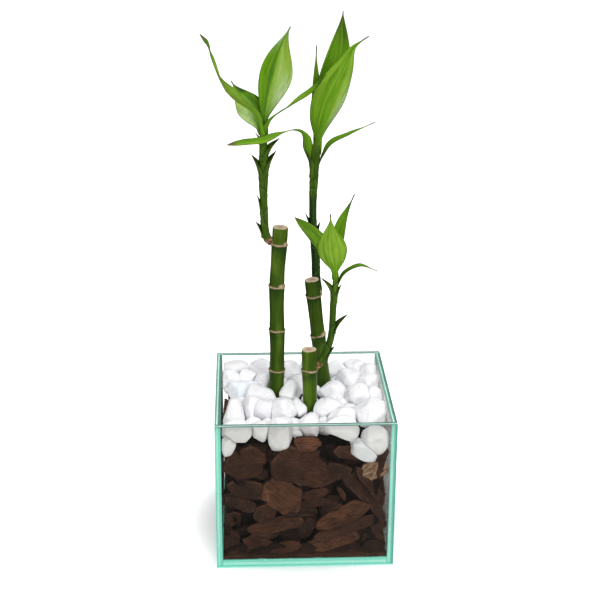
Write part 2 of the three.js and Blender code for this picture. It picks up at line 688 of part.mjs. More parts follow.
function sideChips(turn, random) {
  const chips = [];
  const stepZ = (BARK_TOP - BASE) / CHIP_ROWS;
  const stepX = 2 * INNER / CHIP_COLUMNS;
  for (let row = 0; row < CHIP_ROWS; row += 1) {
    for (let column = 0; column < CHIP_COLUMNS; column += 1) {
      const chip = chipGeometry(38 + 12 * random(), 26 + 8 * random(), 4 + 2 * random(), random);
      const flat = random() < 0.5;
      placeChip(chip, {
        spin: (random() - 0.5) * 0.9,
        tilt: flat ? 0.3 * (random() - 0.5) : 0.5 + 0.5 * random(),
        along: stepX * (column + 0.5 + (row % 2 ? 0.2 : -0.2)) - INNER + (random() - 0.5) * 6,
        height: BASE + stepZ * (row + 0.5) + (random() - 0.5) * 4,
        back: 2 * random(),
        high: BARK_TOP,
      });
      chip.rotateZ(turn);
      chips.push(chip);
    }
  }
  return chips;
}

function raisedChip({ turns, left, right, depth, top }, random) {
  const chip = placeChip(chipGeometry(right - left, 24, depth - 2, random), {
    spin: 0, tilt: 0.05, along: (left + right) / 2, height: top, back: 0, high: top, left, right,
  });
  chip.rotateZ(turns * Math.PI / 2);
  return chip;
}

function buildBark(pockets) {
  const random = randomFrom(9341);
  const width = 2 * (INNER - CORE_INSET);
  const core = new THREE.BoxGeometry(width, width, BARK_TOP - BASE);
  core.translate(0, 0, (BARK_TOP + BASE) / 2);
  const quarter = Math.PI / 2;
  const chips = [1, 2, 3].flatMap((side) => sideChips(side * quarter, random));
  chips.push(...frontChips(random), ...RAISED.map((stretch) => raisedChip(stretch, random)));
  const heap = chips.reduce((sum, chip) => sum.add(solidOf(chip)), solidOf(core));
  const room = [...CANES.map((cane) => solidOf(caneGeometry(cane, GAP))), ...pockets];
  const holed = room.reduce((sum, solid) => sum.subtract(solid), heap);
  addPiece('bark_chips', geometryOf(largestPart(holed)), 'bark');
}

buildBox();
buildBark(buildPebbles());
buildPlants();

export default group;
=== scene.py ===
import bpy
import numpy as np
from mathutils import Matrix


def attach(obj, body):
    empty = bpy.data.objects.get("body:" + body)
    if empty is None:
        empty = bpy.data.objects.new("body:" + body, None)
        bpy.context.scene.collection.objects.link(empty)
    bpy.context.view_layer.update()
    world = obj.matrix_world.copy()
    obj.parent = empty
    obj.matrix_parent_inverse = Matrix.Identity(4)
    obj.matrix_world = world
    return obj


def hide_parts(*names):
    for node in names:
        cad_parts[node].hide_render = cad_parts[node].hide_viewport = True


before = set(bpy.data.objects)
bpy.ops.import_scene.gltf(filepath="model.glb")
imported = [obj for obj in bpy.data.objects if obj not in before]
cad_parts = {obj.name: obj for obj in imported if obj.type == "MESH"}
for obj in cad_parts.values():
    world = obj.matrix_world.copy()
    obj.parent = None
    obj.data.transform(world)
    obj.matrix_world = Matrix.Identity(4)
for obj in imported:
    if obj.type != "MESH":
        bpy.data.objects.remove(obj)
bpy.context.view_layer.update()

# The pot: five panes of clear float glass, cut square, with ground edges and a fine arris, glued
# edge to edge with clear adhesive. The front and back panes cover the ends of the side panes, and
# the base lies between the four walls, flush with the floor. Sizes here and below are millimetres.
MM = 0.001
POT_WIDTH = 120.0
POT_HEIGHT = 107.0
PANE = 4.0
BASE = 5.0
HALF = POT_WIDTH / 2
INNER = HALF - PANE
ARRIS = 0.3
GLUE_LINE = 0.05
SIDE = INNER - GLUE_LINE
RIM_STARTS = (106.4, 106.6)
# grey tint of the glass: painted shade on what is seen through it
GLASS_SHADE_GREY = (0.71, 0.7, 0.68, 1)
GLASS_SHADOW = (0.84, 0.86, 0.84, 1)
# aqua of the cut edges, which they also give off as a painted glow
EDGE_AQUA = (0.36, 0.92, 0.79, 1)
EDGE_AQUA_FAR = (0.25, 0.8, 0.66, 1)
# painted highlight band on the cut edges
EDGE_PAINTED_HIGHLIGHT = (0.62, 0.93, 0.84, 1)
# painted shade lines on the cut edges
EDGE_PAINTED_SHADE_LINE = (0.035, 0.22, 0.16, 1)
EDGE_NICK = (0.8, 0.95, 0.9, 1)
# the top rim's colours, painted darker as shade, the last most of all where the rim is seen level
RIM_NEAR = (0.2, 0.37, 0.31, 1)
RIM_FAR = (0.08, 0.21, 0.165, 1)
RIM_PAINTED_SHADE = (0.1, 0.15, 0.12, 1)


def wire(tree, kind, inputs=None, **settings):
    """Adds a shader node. An input given as a socket is linked, any other value is set on it."""
    made = tree.nodes.new(kind)
    for key, value in settings.items():
        setattr(made, key, value)
    for key, value in (inputs or {}).items():
        if isinstance(value, bpy.types.NodeSocket):
            tree.links.new(value, made.inputs[key])
        else:
            made.inputs[key].default_value = value
    return made


def maths(tree, operation, *values):
    """One Math node: the values, numbers or sockets, are its inputs in order."""
    return wire(tree, "ShaderNodeMath", dict(enumerate(values)), operation=operation).outputs[0]


def blend_colours(tree, share, first, second):
    """Mixes two colours, numbers or sockets, by a share from 0 to 1."""
    return wire(tree, "ShaderNodeMix", {0: share, 6: first, 7: second}, data_type="RGBA").outputs[2]


def steps(tree, value, low, high, start=0.0, end=1.0):
    """Smooth step of a value: start below low, end above high."""
    return wire(tree, "ShaderNodeMapRange", {0: value, 1: low, 2: high, 3: start, 4: end},
                interpolation_type="SMOOTHSTEP").outputs[0]


def finish_material(name, inputs):
    """A material with one Principled shader, whose inputs are sockets or values. It reads places in
    metres, and the distances that a piece keeps as attributes in millimetres."""
    material = bpy.data.materials.new(name)
    material.use_nodes = True
    tree = material.node_tree
    shader = tree.nodes["Principled BSDF"]
    for key, value in inputs(tree).items():
        if isinstance(value, bpy.types.NodeSocket):
            tree.links.new(value, shader.inputs[key])
        else:
            shader.inputs[key].default_value = value
    return material


def mesh_piece(name, points, faces, materials, nodes, face_material=None, smooth=True,
               values=None, uv=None):
    """A piece from points in millimetres and faces of corner numbers, riding on the root body.
    values are numbers for each point, kept as attributes; uv are two numbers for each point."""
    mesh = bpy.data.meshes.new(name)
    mesh.from_pydata((points * MM).tolist(), [], faces)
    for material in materials:
        mesh.materials.append(material)
    mesh.polygons.foreach_set("use_smooth", np.full(len(mesh.polygons), smooth))
    if face_material is not None:
        mesh.polygons.foreach_set("material_index", face_material)
    for key, numbers in (values or {}).items():
        layer = mesh.attributes.new(key, "FLOAT", "POINT")
        layer.data.foreach_set("value", np.asarray(numbers, np.float32).ravel())
    if uv is not None:
        corner = np.empty(len(mesh.loops), np.int32)
        mesh.loops.foreach_get("vertex_index", corner)
        layer = mesh.uv_layers.new(name="surface")
        layer.data.foreach_set("uv", uv[corner].astype(np.float32).ravel())
    mesh.validate()
    mesh.update()
    piece = bpy.data.objects.new(name, mesh)
    bpy.context.scene.collection.objects.link(piece)
    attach(piece, "root")
    if nodes:
        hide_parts(*nodes)


def grid_faces(rows, columns, around, first=0):
    """Quads between neighbouring points of a grid that is stored row by row, as an array. around
    joins the last column to the first. Rows that climb and columns that turn left face outwards."""
    across = columns if around else columns - 1
    i, j = np.meshgrid(np.arange(rows - 1), np.arange(across), indexing="ij")
    beside = (j + 1) % columns
    low, high = i * columns, (i + 1) * columns
    quads = np.stack([low + j, low + beside, high + beside, high + j], -1)
    return quads.reshape(-1, 4) + first


def pane_piece(name, low, high, thin):
    """A pane as four rectangles carried through its thickness: the two in the faces are smaller by
    the arris, the two between have the full size. The ends are closed by the two flat faces."""
    low, high = np.array(low, float), np.array(high, float)
    along, across = [axis for axis in range(3) if axis != thin]
    depth = [low[thin], low[thin] + ARRIS, high[thin] - ARRIS, high[thin]]
    corners = np.array([[0, 0], [1, 0], [1, 1], [0, 1]], float)
    if thin == 1:
        corners = corners[::-1]
    rings = np.zeros((4, 4, 3))
    for row, (place, inset) in enumerate(zip(depth, [ARRIS, 0, 0, ARRIS])):
        rings[row, :, thin] = place
        for column, axis in enumerate((along, across)):
            start, stop = low[axis] + inset, high[axis] - inset
            rings[row, :, axis] = start + (stop - start) * corners[:, column]
    rim = grid_faces(4, 4, True)
    faces = np.concatenate([rim, [[3, 2, 1, 0], [12, 13, 14, 15]]])
    cut = np.arange(len(faces)) < len(rim)
    through = np.repeat((np.array(depth) - depth[0]) / (depth[-1] - depth[0]), 4)
    mesh_piece(name + "_polished", rings.reshape(-1, 3), faces.tolist(), [CLEAR_GLASS, CUT_EDGE_PAINTED_LIGHT],
               [name], face_material=cut.astype(np.int32), smooth=False,
               values={"through": through})


def clear_glass_look(tree):
    """Faint smears change the polish a little; the rest is clear glass, tinted grey as painted shade on
    what is seen through it.
    """
    place = wire(tree, "ShaderNodeTexCoord").outputs["Object"]
    smears = wire(tree, "ShaderNodeTexNoise", {"Vector": place, "Scale": 28.0, "Detail": 2.0,
                                               "Distortion": 1.2}).outputs[0]
    return {
        "Base Color": GLASS_SHADE_GREY,
        "Transmission Weight": 1.0,
        "IOR": 1.5,
        "Roughness": steps(tree, smears, 0.5, 0.8, 0.0, 0.02),
    }


def let_light_through(material, tint):
    """Light that shines through the panes isn't held up: shadow rays see clear tinted film."""
    tree = material.node_tree
    shader = tree.nodes["Principled BSDF"]
    film = wire(tree, "ShaderNodeBsdfTransparent", {"Color": tint})
    rays = wire(tree, "ShaderNodeLightPath")
    mix = wire(tree, "ShaderNodeMixShader", {0: rays.outputs["Is Shadow Ray"],
                                             1: shader.outputs[0], 2: film.outputs[0]})
    tree.links.new(mix.outputs[0], tree.nodes["Material Output"].inputs["Surface"])


def cut_edge_painted_light_look(tree):
    """Cut edges are painted aqua with a painted glow. Across the pane's thickness lie a painted highlight
    band and two painted shade lines, where the light turns at the arris; grinding marks run along the
    edge. The top rim is painted darker as shade, most of all between the side panes, where it is seen
    level."""
    place = wire(tree, "ShaderNodeTexCoord").outputs["Object"]
    through = wire(tree, "ShaderNodeAttribute", attribute_name="through").outputs["Fac"]
    x, y, z = wire(tree, "ShaderNodeSeparateXYZ", {0: place}).outputs
    along = maths(tree, "ADD", maths(tree, "ADD", x, y), z)
    run = wire(tree, "ShaderNodeCombineXYZ", {0: maths(tree, "MULTIPLY", through, 3.2),
                                              1: maths(tree, "MULTIPLY", along, 22.0)}).outputs[0]
    marks = wire(tree, "ShaderNodeTexNoise", {"Vector": run, "Scale": 1.6, "Detail": 4.0,
                                              "Roughness": 0.6}).outputs[0]
    nicks = wire(tree, "ShaderNodeTexNoise", {"Vector": place, "Scale": 420.0, "Detail": 2.0}).outputs[0]
    unevenness = maths(tree, "MULTIPLY", maths(tree, "SUBTRACT", marks, 0.5), 0.35)
    uneven = maths(tree, "ADD", through, unevenness)
    side = blend_colours(tree, steps(tree, uneven, 0.25, 0.75), EDGE_AQUA, EDGE_AQUA_FAR)
    above = blend_colours(tree, steps(tree, uneven, 0.3, 0.7), RIM_NEAR, RIM_FAR)
    # painted shade on the top rim between the side panes, where it is seen level
    level = steps(tree, maths(tree, "ABSOLUTE", x), SIDE * MM, INNER * MM, 0.6, 0.0)
    above = blend_colours(tree, level, above, RIM_PAINTED_SHADE)
    at_top = steps(tree, z, RIM_STARTS[0] * MM, RIM_STARTS[1] * MM)
    colour = blend_colours(tree, at_top, side, above)
    # painted highlight band across the edge
    from_highlight_band = maths(tree, "ABSOLUTE", maths(tree, "SUBTRACT", uneven, 0.42))
    colour = blend_colours(tree, steps(tree, from_highlight_band, 0.03, 0.16, 0.75, 0.0), colour, EDGE_PAINTED_HIGHLIGHT)
    # painted shade lines next to the arrises
    from_middle = maths(tree, "ABSOLUTE", maths(tree, "SUBTRACT", through, 0.5))
    colour = blend_colours(tree, steps(tree, from_middle, 0.4, 0.47, 0.0, 0.7), colour, EDGE_PAINTED_SHADE_LINE)
    worn = blend_colours(tree, steps(tree, nicks, 0.66, 0.76, 0.0, 0.5), colour, EDGE_NICK)
    bump = wire(tree, "ShaderNodeBump", {"Strength": 0.25, "Distance": 0.0001, "Height": marks})
    return {
        "Base Color": worn,
        "Roughness": steps(tree, marks, 0.3, 0.7, 0.12, 0.3),
        "Normal": bump.outputs[0],
        # painted glow: the cut edges give off their aqua colour as light, though they are no lamp
        "Emission Color": worn,
        "Emission Strength": 0.26,
        "IOR": 1.5,
    }


CLEAR_GLASS = finish_material("clear_glass", clear_glass_look)
let_light_through(CLEAR_GLASS, GLASS_SHADOW)
# the cut edges, with their painted glow, painted highlight and painted shade
CUT_EDGE_PAINTED_LIGHT = finish_material("cut_glass_edge_painted_glow", cut_edge_painted_light_look)

pane_piece("glass_front", (-HALF, -HALF, 0), (HALF, -INNER, POT_HEIGHT), 1)
pane_piece("glass_back", (-HALF, INNER, 0), (HALF, HALF, POT_HEIGHT), 1)
pane_piece("glass_left", (-HALF, -SIDE, 0), (-INNER, SIDE, POT_HEIGHT), 0)
pane_piece("glass_right", (INNER, -SIDE, 0), (HALF, SIDE, POT_HEIGHT), 0)
pane_piece("glass_base", (-SIDE, -SIDE, 0), (SIDE, SIDE, BASE), 2)

# The bark: flat chips of dark conifer bark, poured into the pot. They lie against the glass at all
# angles, with gaps between them darkened by painted shade, and a heap of the same chips fills the middle.
GAP = 0.3
EDGE = INNER - GAP
BARK_FLOOR = BASE + 0.1
BARK_TOP = 90.0
BARK_HIGHEST = 100.0
SIDE_ROWS = 3
SIDE_COLUMNS = 3
INNER_ROWS = 6
INNER_COLUMNS = 7
INNER_ROW_HEIGHT = 15
INNER_THICKNESS = 3.5
CHIP_CORNERS = 6
CHIP_SQUARENESS = 0.22
CHIP_GRID = (22, 64)
INNER_GRID = (8, 18)
HEAP_GRID = 52
HEAP_INSET = 7.5
HEAP_FOOT = 4.0
HEAP_LIFT = 0.05
BARK_BLACK_BROWN = (0.03, 0.016, 0.011, 1)
BARK_RED_BROWN = (0.119, 0.047, 0.025, 1)
BARK_FRESH = (0.21, 0.088, 0.046, 1)
BARK_GREY_BROWN = (0.062, 0.034, 0.023, 1)
BARK_MOULD = (0.018, 0.011, 0.009, 1)
BARK_GROOVE = (0.02, 0.011, 0.008, 1)
BARK_FIBRE = (0.24, 0.13, 0.08, 1)
# wear on the rims mixed with a painted highlight
BARK_WEAR_AND_HIGHLIGHT = (0.2, 0.105, 0.065, 1)
# dust mixed with painted light on what faces up
BARK_DUST_AND_TOP_LIGHT = (0.21, 0.1, 0.06, 1)
# painted shade on what faces down
BARK_UNDERSIDE_SHADE = (0.014, 0.009, 0.007, 1)
BARK_TORN = (0.1, 0.055, 0.035, 1)
BARK_TORN_PALE = (0.42, 0.27, 0.17, 1)
# painted shade in the gaps between chips
BARK_GAP_SHADE = (0.005, 0.0035, 0.003, 1)

# Stretches that stand higher than the rest: the pane they lie against, in quarter turns from the
# front one, their ends along that pane, depth and top. Three chips fill each: how far below its top,
# the distance from the glass, and the tone.
RAISED = [(0, -9.0, 11.0, 6.0, 96.0), (3, -3.0, 18.0, 4.5, 100.0)]
RAISED_LAYERS = [(0, 0.8, 0.98), (6, 1.8, 0.5), (12, 2.6, 0.35)]
RAISED_HEIGHT = 11
RAISED_SLACK = 2.4
DRAW_FACTOR = 16807
DRAW_RANGE = 2147483647
WAVES = 6

# Chips against the front pane: along, height, length, width, spin and tilt in degrees, distance from
# the glass, and tone from dark to red-brown; the one at 1.3 is torn and fibrous
FRONT_CHIPS = [
    (-40.5, 77.6, 29, 23, 12, -6, 0.6, 0.45), (-4.7, 77.6, 42, 26, -10, -4, 0, 0.55),
    (14.5, 67.3, 24, 16, 20, -8, 1.8, 0.5),
    (29.6, 83.5, 21, 9, -4, -18, 1.5, 0.4), (34.4, 59.6, 41, 11, -52, -22, 1, 0.4),
    (44.1, 58.8, 37, 7, -55, -28, 0.6, 0.35), (24.6, 53, 13, 4, -62, -10, 1.8, 0.6),
    (48.3, 71.3, 17, 14, 35, -15, 0.3, 1.3), (-16.4, 54.2, 29, 23, -42, -6, 0, 1.02),
    (-40.1, 57.3, 28, 14, -8, -12, 1, 0.35), (-43.6, 46.1, 24, 10, -24, -16, 1.2, 0.4),
    (-27.5, 38.7, 16, 13, 20, -5, 0.5, 0.6), (5.6, 52.9, 23, 7, 12, -14, 1.4, 0.7),
    (4.6, 45.4, 26, 6, 10, -14, 2.2, 0.3), (-19.6, 29.4, 43, 11, 11, -20, 0.8, 0.72),
    (24.7, 35.8, 43, 13, 24, -14, 0.3, 0.92), (29.2, 26.2, 54, 8, 21, -25, 0.9, 0.55),
    (19.5, 16.8, 44, 12, 16, -14, 0.2, 0.92), (45.8, 13.5, 19, 16, 60, -10, 0.6, 0.6),
    (-14.7, 12.6, 30, 9, 10, -12, 0.4, 0.88), (-31.9, 15.7, 26, 7, -12, -18, 0.9, 0.65),
    (-49.6, 17, 19, 11, 84, -8, 0.6, 0.6), (-49.1, 35.8, 12, 10, 30, -10, 0.8, 0.35),
    (49.7, 39.2, 17, 8, -58, -20, 1.2, 0.5), (51.8, 27.3, 13, 9, 70, -12, 1, 0.5),
    (-29, 21.2, 22, 6, 6, -18, 1.8, 0.4), (-51.4, 49.1, 12, 11, 70, -8, 1.6, 0.3),
    (-35.3, 93.2, 14, 11, -40, -10, 1.8, 0.4), (46.6, 49, 17, 7, -50, -18, 2.2, 0.4),
    (-2.8, 37.7, 24, 7, 4, -20, 3.2, 0), (49.7, 81.6, 12, 10, 10, -12, 1.6, 0.8),
    (-29.9, 68.6, 12, 8, -30, -10, 2.6, 0.2), (17.7, 42.5, 14, 7, 10, -10, 3, 0.05),
    (0.7, 28.4, 14, 10, 30, -10, 3.4, 0), (-33, 9.2, 30, 7, 4, -12, 0.9, 0.8),
    (2, 8, 34, 6, -3, -12, 1.1, 0.7), (31, 7.6, 30, 6, 3, -12, 1, 0.5),
]


def random_from(seed):
    """Repeatable random numbers from 0 to 1: the next x is x times the factor, modulo the range, and
    the number given is x / range."""
    state = [seed]

    def draw():
        state[0] = state[0] * DRAW_FACTOR % DRAW_RANGE
        return state[0] / DRAW_RANGE

    return draw


def waves(points, scale, seed):
    """Soft random field, mostly from -1 to 1: the mean of sine waves of random directions and
    phases, whose length is about scale, made stronger again by 0.7 times the root of their number."""
    chance = np.random.default_rng(seed)
    ways = chance.normal(size=(WAVES, points.shape[-1]))
    ways /= np.linalg.norm(ways, axis=1, keepdims=True)
    pace = 2 * np.pi / (scale * chance.uniform(0.7, 1.5, WAVES))
    field = np.sin(points @ ways.T * pace + chance.uniform(0, 2 * np.pi, WAVES))
    return field.mean(-1) * np.sqrt(WAVES) * 0.7


def chip_corners(length, width, draw):
    """Corners of a chip's outline: six points near an ellipse, each a little out of place."""
    corners = []
    for i in range(CHIP_CORNERS):
        angle = (i + 0.4 * (draw() - 0.5)) / CHIP_CORNERS * 2 * np.pi
        reach = 0.5 * (0.9 + 0.3 * draw())
        corners.append((length * reach * np.cos(angle), width * reach * np.sin(angle)))
    return np.array(corners)


def turned(spin, tilt):
    """Tilts a flat chip about its length, stands it up against the pane, then spins it in the pane's
    plane. A chip tilted less than 0 looks up a little."""
    s, c = np.sin(spin), np.cos(spin)
    a, b = np.cos(tilt), -np.sin(tilt)
    return np.array([[c, 0, -s], [0, 1, 0], [s, 0, c]]) @ np.array([[1, 0, 0], [0, b, -a], [0, a, b]])


def about_upright(angle):
    """Turning by an angle about the pot's upright axis."""
    s, c = np.sin(angle), np.cos(angle)
    return np.array([[c, -s, 0], [s, c, 0], [0, 0, 1]])


def seat(corners, thickness, spin, tilt, along, height, back, high, left=-EDGE, right=EDGE):
    """Turning and shift that lay a chip against the front pane, back from it by the given distance,
    and keep it in the pot, under high and between left and right."""
    slab = np.concatenate([np.c_[corners, np.full(len(corners), z)] for z in (0, -thickness)])
    turn = turned(spin, tilt)
    slab = slab @ turn.T
    low, top = slab.min(0), slab.max(0)
    x = min(max(along, left - low[0]), right - top[0])
    z = min(max(height, BARK_FLOOR - low[2]), high - top[2])
    return turn, np.array([x, back - EDGE - low[1], z])


def chip_surface(corners, thickness, rows, columns, seed):
    """A chip as closed rings over a slab. The outline is the corners joined by straight lines and
    softened. Ring by ring the reach is sin(t)^s of it and the height cos(t)^s of half the
    thickness, t from 0 to pi and s the squareness, so the faces are flat and the rim is round.
    Ridges along the grain, split layers at the rim and soft dents are added to it. Also gives how
    near each point is to the rim."""
    angle = np.linspace(0, 2 * np.pi, columns, endpoint=False)
    way = np.c_[np.cos(angle), np.sin(angle)]
    following = np.roll(corners, -1, 0)
    side = following - corners
    normal = np.c_[side[:, 1], -side[:, 0]]
    limit = (normal * corners).sum(1)
    pull = way @ normal.T
    reach = np.where(pull > 1e-6, limit / np.maximum(pull, 1e-6), np.inf).min(1)
    near = np.ones(3) / 3
    reach = np.convolve(np.r_[reach[-1:], reach, reach[:1]], near, "valid")
    outline = way * reach[:, None]
    frayed = 0.05 * waves(outline, 6, seed) + 0.035 * waves(outline, 2.2, seed + 1)
    outline = outline * (1 + frayed)[:, None]
    t = np.linspace(0, np.pi, rows)[1:-1]
    spread = np.sin(t) ** CHIP_SQUARENESS
    lift = np.sign(np.cos(t)) * np.abs(np.cos(t)) ** CHIP_SQUARENESS
    flat = outline[None] * spread[:, None, None]
    layers = 0.035 * np.sin(lift * 7 + seed)[:, None, None] * (spread[:, None, None] > 0.8)
    flat = flat * (1 + layers * (0.6 + 0.4 * waves(flat, 9, seed + 2)[..., None]))
    grain = flat * np.array([0.22, 1.0])
    relief = 0.26 * waves(grain, 3.8, seed + 3) + 0.05 * waves(grain, 1.3, seed + 4)
    relief = relief + 0.75 * waves(flat, 14, seed + 5)
    half = thickness / 2
    z = -half + (half * lift)[:, None] + relief * np.abs(lift)[:, None] ** 2
    rings = np.concatenate([flat, z[..., None]], -1)
    poles = np.array([[0, 0, 0.0], [0, 0, -thickness]])
    rim = np.r_[np.repeat(1 - np.abs(lift), columns), 0, 0]
    return np.concatenate([rings.reshape(-1, 3), poles]), rim


def closed_faces(rows, columns, first=0):
    """Quads between the rings of a chip or stone, closed by triangles to its two poles."""
    inner = rows - 2
    start, end = first + inner * columns, first + inner * columns + 1
    last = first + (inner - 1) * columns
    j = np.arange(columns)
    k = (j + 1) % columns
    faces = grid_faces(inner, columns, True, first)[:, ::-1].tolist()
    faces += np.c_[first + j, first + k, np.full(columns, start)].tolist()
    faces += np.c_[last + k, last + j, np.full(columns, end)].tolist()
    return faces


def bark_look(tree):
    """Dark red-brown bark: darker and lighter chips, mould, grain along the chip, pale frayed fibres,
    worn rims with a painted highlight, dust and painted light on what looks up, painted shade on the
    undersides and black painted shade in the hollows between the chips."""
    place = wire(tree, "ShaderNodeTexCoord").outputs["Object"]
    own = wire(tree, "ShaderNodeAttribute", attribute_name="chip").outputs["Fac"]
    lie = wire(tree, "ShaderNodeUVMap", uv_map="surface").outputs[0]
    grain_place = wire(tree, "ShaderNodeMapping", {"Vector": lie, "Scale": (0.16, 1.5, 1)}).outputs[0]
    grain = wire(tree, "ShaderNodeTexNoise", {"Vector": grain_place, "Scale": 1.0, "Detail": 6.0,
                                              "Roughness": 0.62, "Distortion": 0.4}).outputs[0]
    patches = wire(tree, "ShaderNodeTexNoise", {"Vector": place, "Scale": 110.0, "Detail": 4.0}).outputs[0]
    grit = wire(tree, "ShaderNodeTexNoise", {"Vector": place, "Scale": 900.0, "Detail": 3.0}).outputs[0]
    rim = wire(tree, "ShaderNodeAttribute", attribute_name="rim").outputs["Fac"]
    mould = wire(tree, "ShaderNodeTexNoise", {"Vector": place, "Scale": 45.0, "Detail": 3.0}).outputs[0]
    facing = wire(tree, "ShaderNodeNewGeometry").outputs["Normal"]
    upward = wire(tree, "ShaderNodeSeparateXYZ", {0: facing}).outputs[2]
    colour = blend_colours(tree, own, BARK_BLACK_BROWN, BARK_RED_BROWN)
    colour = blend_colours(tree, steps(tree, own, 0.85, 1.05), colour, BARK_FRESH)
    colour = blend_colours(tree, steps(tree, patches, 0.38, 0.68, 0.0, 0.6), colour, BARK_GREY_BROWN)
    colour = blend_colours(tree, steps(tree, mould, 0.38, 0.62, 0.45, 0.0), colour, BARK_MOULD)
    colour = blend_colours(tree, steps(tree, grain, 0.38, 0.56, 0.6, 0.0), colour, BARK_GROOVE)
    colour = blend_colours(tree, steps(tree, grain, 0.57, 0.78, 0.0, 0.4), colour, BARK_FIBRE)
    # rims lighter: wear mixed with a painted highlight
    from_rim = maths(tree, "ABSOLUTE", maths(tree, "SUBTRACT", rim, 0.07))
    worn = maths(tree, "MULTIPLY", steps(tree, from_rim, 0.0, 0.06, 0.35, 0.0),
                 steps(tree, patches, 0.48, 0.62))
    colour = blend_colours(tree, worn, colour, BARK_WEAR_AND_HIGHLIGHT)
    # what faces up near the rims is lighter: dust mixed with painted light from above
    dust_and_top_light = maths(tree, "MULTIPLY", steps(tree, upward, 0.25, 0.75, 0.0, 0.26),
                  steps(tree, rim, 0.1, 0.5, 1.0, 0.0))
    colour = blend_colours(tree, dust_and_top_light, colour, BARK_DUST_AND_TOP_LIGHT)
    # painted shade on what faces down
    colour = blend_colours(tree, steps(tree, upward, -0.6, -0.1, 0.65, 0.0), colour, BARK_UNDERSIDE_SHADE)
    torn = blend_colours(tree, steps(tree, grain, 0.4, 0.6), BARK_TORN, BARK_TORN_PALE)
    colour = blend_colours(tree, steps(tree, own, 1.1, 1.25), colour, torn)
    # painted shade in the gaps, at the rims and on chips that lie further in
    colour = blend_colours(tree, steps(tree, rim, 0.15, 0.75, 0.0, 0.92), colour, BARK_GAP_SHADE)
    height = maths(tree, "ADD", grain, maths(tree, "MULTIPLY", grit, 0.25))
    bump = wire(tree, "ShaderNodeBump", {"Strength": 0.5, "Distance": 0.0005, "Height": height})
    return {
        "Base Color": colour,
        "Roughness": steps(tree, grit, 0.3, 0.7, 0.7, 0.95),
        "Normal": bump.outputs[0],
        "Specular IOR Level": 0.12,
    }


BARK = finish_material("dark_bark", bark_look)


def bark_piece(name, chips, grid, shade=0.0):
    """Joins chips, each with its corners, thickness, turning, shift, side of the pot and tone, in one
    piece. shade from 0 to 1 darkens those that lie further in."""
    points, faces, lie, own, rims = [], [], [], [], []
    for number, (corners, thickness, turn, shift, quarter, tone) in enumerate(chips):
        flat, rim = chip_surface(corners, thickness, *grid, 50 + number)
        faces += closed_faces(*grid, sum(len(each) for each in points))
        points.append((flat @ turn.T + shift) @ about_upright(quarter).T)
        lie.append(flat[:, :2] + number * 17.3)
        own.append(np.full(len(flat), (number * 0.618) % 1 if tone is None else tone))
        rims.append(rim + shade * (1 - rim))
    inside = np.clip(np.concatenate(points), [-EDGE, -EDGE, BARK_FLOOR], [EDGE, EDGE, BARK_HIGHEST])
    mesh_piece(name, inside, faces, [BARK], ["bark_chips"],
               values={"chip": np.concatenate(own), "rim": np.concatenate(rims)},
               uv=np.concatenate(lie))


def side_chips(quarter, draw):
    """Chips of one side, 38 to 50 mm long, 26 to 34 mm wide and 4 to 6 mm thick, on a loose grid
    whose rows are set off by turns. Each lies flat or tilted by chance."""
    chips = []
    step_up = (BARK_TOP - BASE) / SIDE_ROWS
    step_along = 2 * INNER / SIDE_COLUMNS
    for row in range(SIDE_ROWS):
        for column in range(SIDE_COLUMNS):
            length, width, thickness = 38 + 12 * draw(), 26 + 8 * draw(), 4 + 2 * draw()
            corners = chip_corners(length, width, draw)
            flat = draw() < 0.5
            spin = (draw() - 0.5) * 0.9
            tilt = 0.3 * (draw() - 0.5) if flat else -0.3 - 0.5 * draw()
            shift = 0.2 if row % 2 else -0.2
            along = step_along * (column + 0.5 + shift) - INNER + (draw() - 0.5) * 6
            height = BASE + step_up * (row + 0.5) + (draw() - 0.5) * 4
            turn, place = seat(corners, thickness, spin, tilt, along, height, 2 * draw(), BARK_TOP)
            chips.append((corners, thickness, turn, place, quarter, None))
    return chips


def front_chips(draw):
    """Chips against the front pane, placed by the list above and thicker where they are wide, and
    those that stand higher."""
    chips = []
    for along, height, length, width, spin, tilt, back, tone in FRONT_CHIPS:
        thickness = min(5.0, 1.5 + width * 0.3)
        corners = chip_corners(length * 1.04, width * 1.04, draw)
        turn, place = seat(corners, thickness, np.radians(spin), np.radians(tilt), along, height,
                           back, BARK_TOP)
        chips.append((corners, thickness, turn, place, 0.0, tone))
    for turns, left, right, depth, top in RAISED:
        for drop, back, tone in RAISED_LAYERS:
            thickness, high = depth - RAISED_SLACK, top - drop
            corners = chip_corners(right - left, RAISED_HEIGHT, draw)
            turn, place = seat(corners, thickness, -0.1, -0.1, (left + right) / 2, high, back, high,
                               left, right)
            chips.append((corners, thickness, turn, place, turns * np.pi / 2, tone))
    return chips


def inner_chips(draw):
    """Smaller chips, 16 to 28 mm long and 9 to 16 mm wide, a little further in, which show between
    those at the glass. Those of the lowest row lie flatter and close to it."""
    chips = []
    for side in range(4):
        for spot in range(INNER_ROWS * INNER_COLUMNS):
            row, column = divmod(spot, INNER_COLUMNS)
            low = row == 0
            corners = chip_corners(16 + 12 * draw(), 9 + 7 * draw(), draw)
            along = (column + 0.5) / INNER_COLUMNS * 2 * INNER - INNER + (draw() - 0.5) * 12
            height = BASE + 2 + row * INNER_ROW_HEIGHT + (0 if low else (draw() - 0.5) * 8)
            spin = (draw() - 0.5) * (0.6 if low else 3)
            tilt = (draw() - 0.3) * (0.4 if low else 1.2)
            back = draw() if low else 3.2 + 3 * draw()
            turn, place = seat(corners, INNER_THICKNESS, spin, tilt, along, height, back, BARK_TOP)
            # their tone is kept low, as painted shade for chips that lie further in
            chips.append((corners, INNER_THICKNESS, turn, place, side * np.pi / 2, 0.4 * draw()))
    return chips


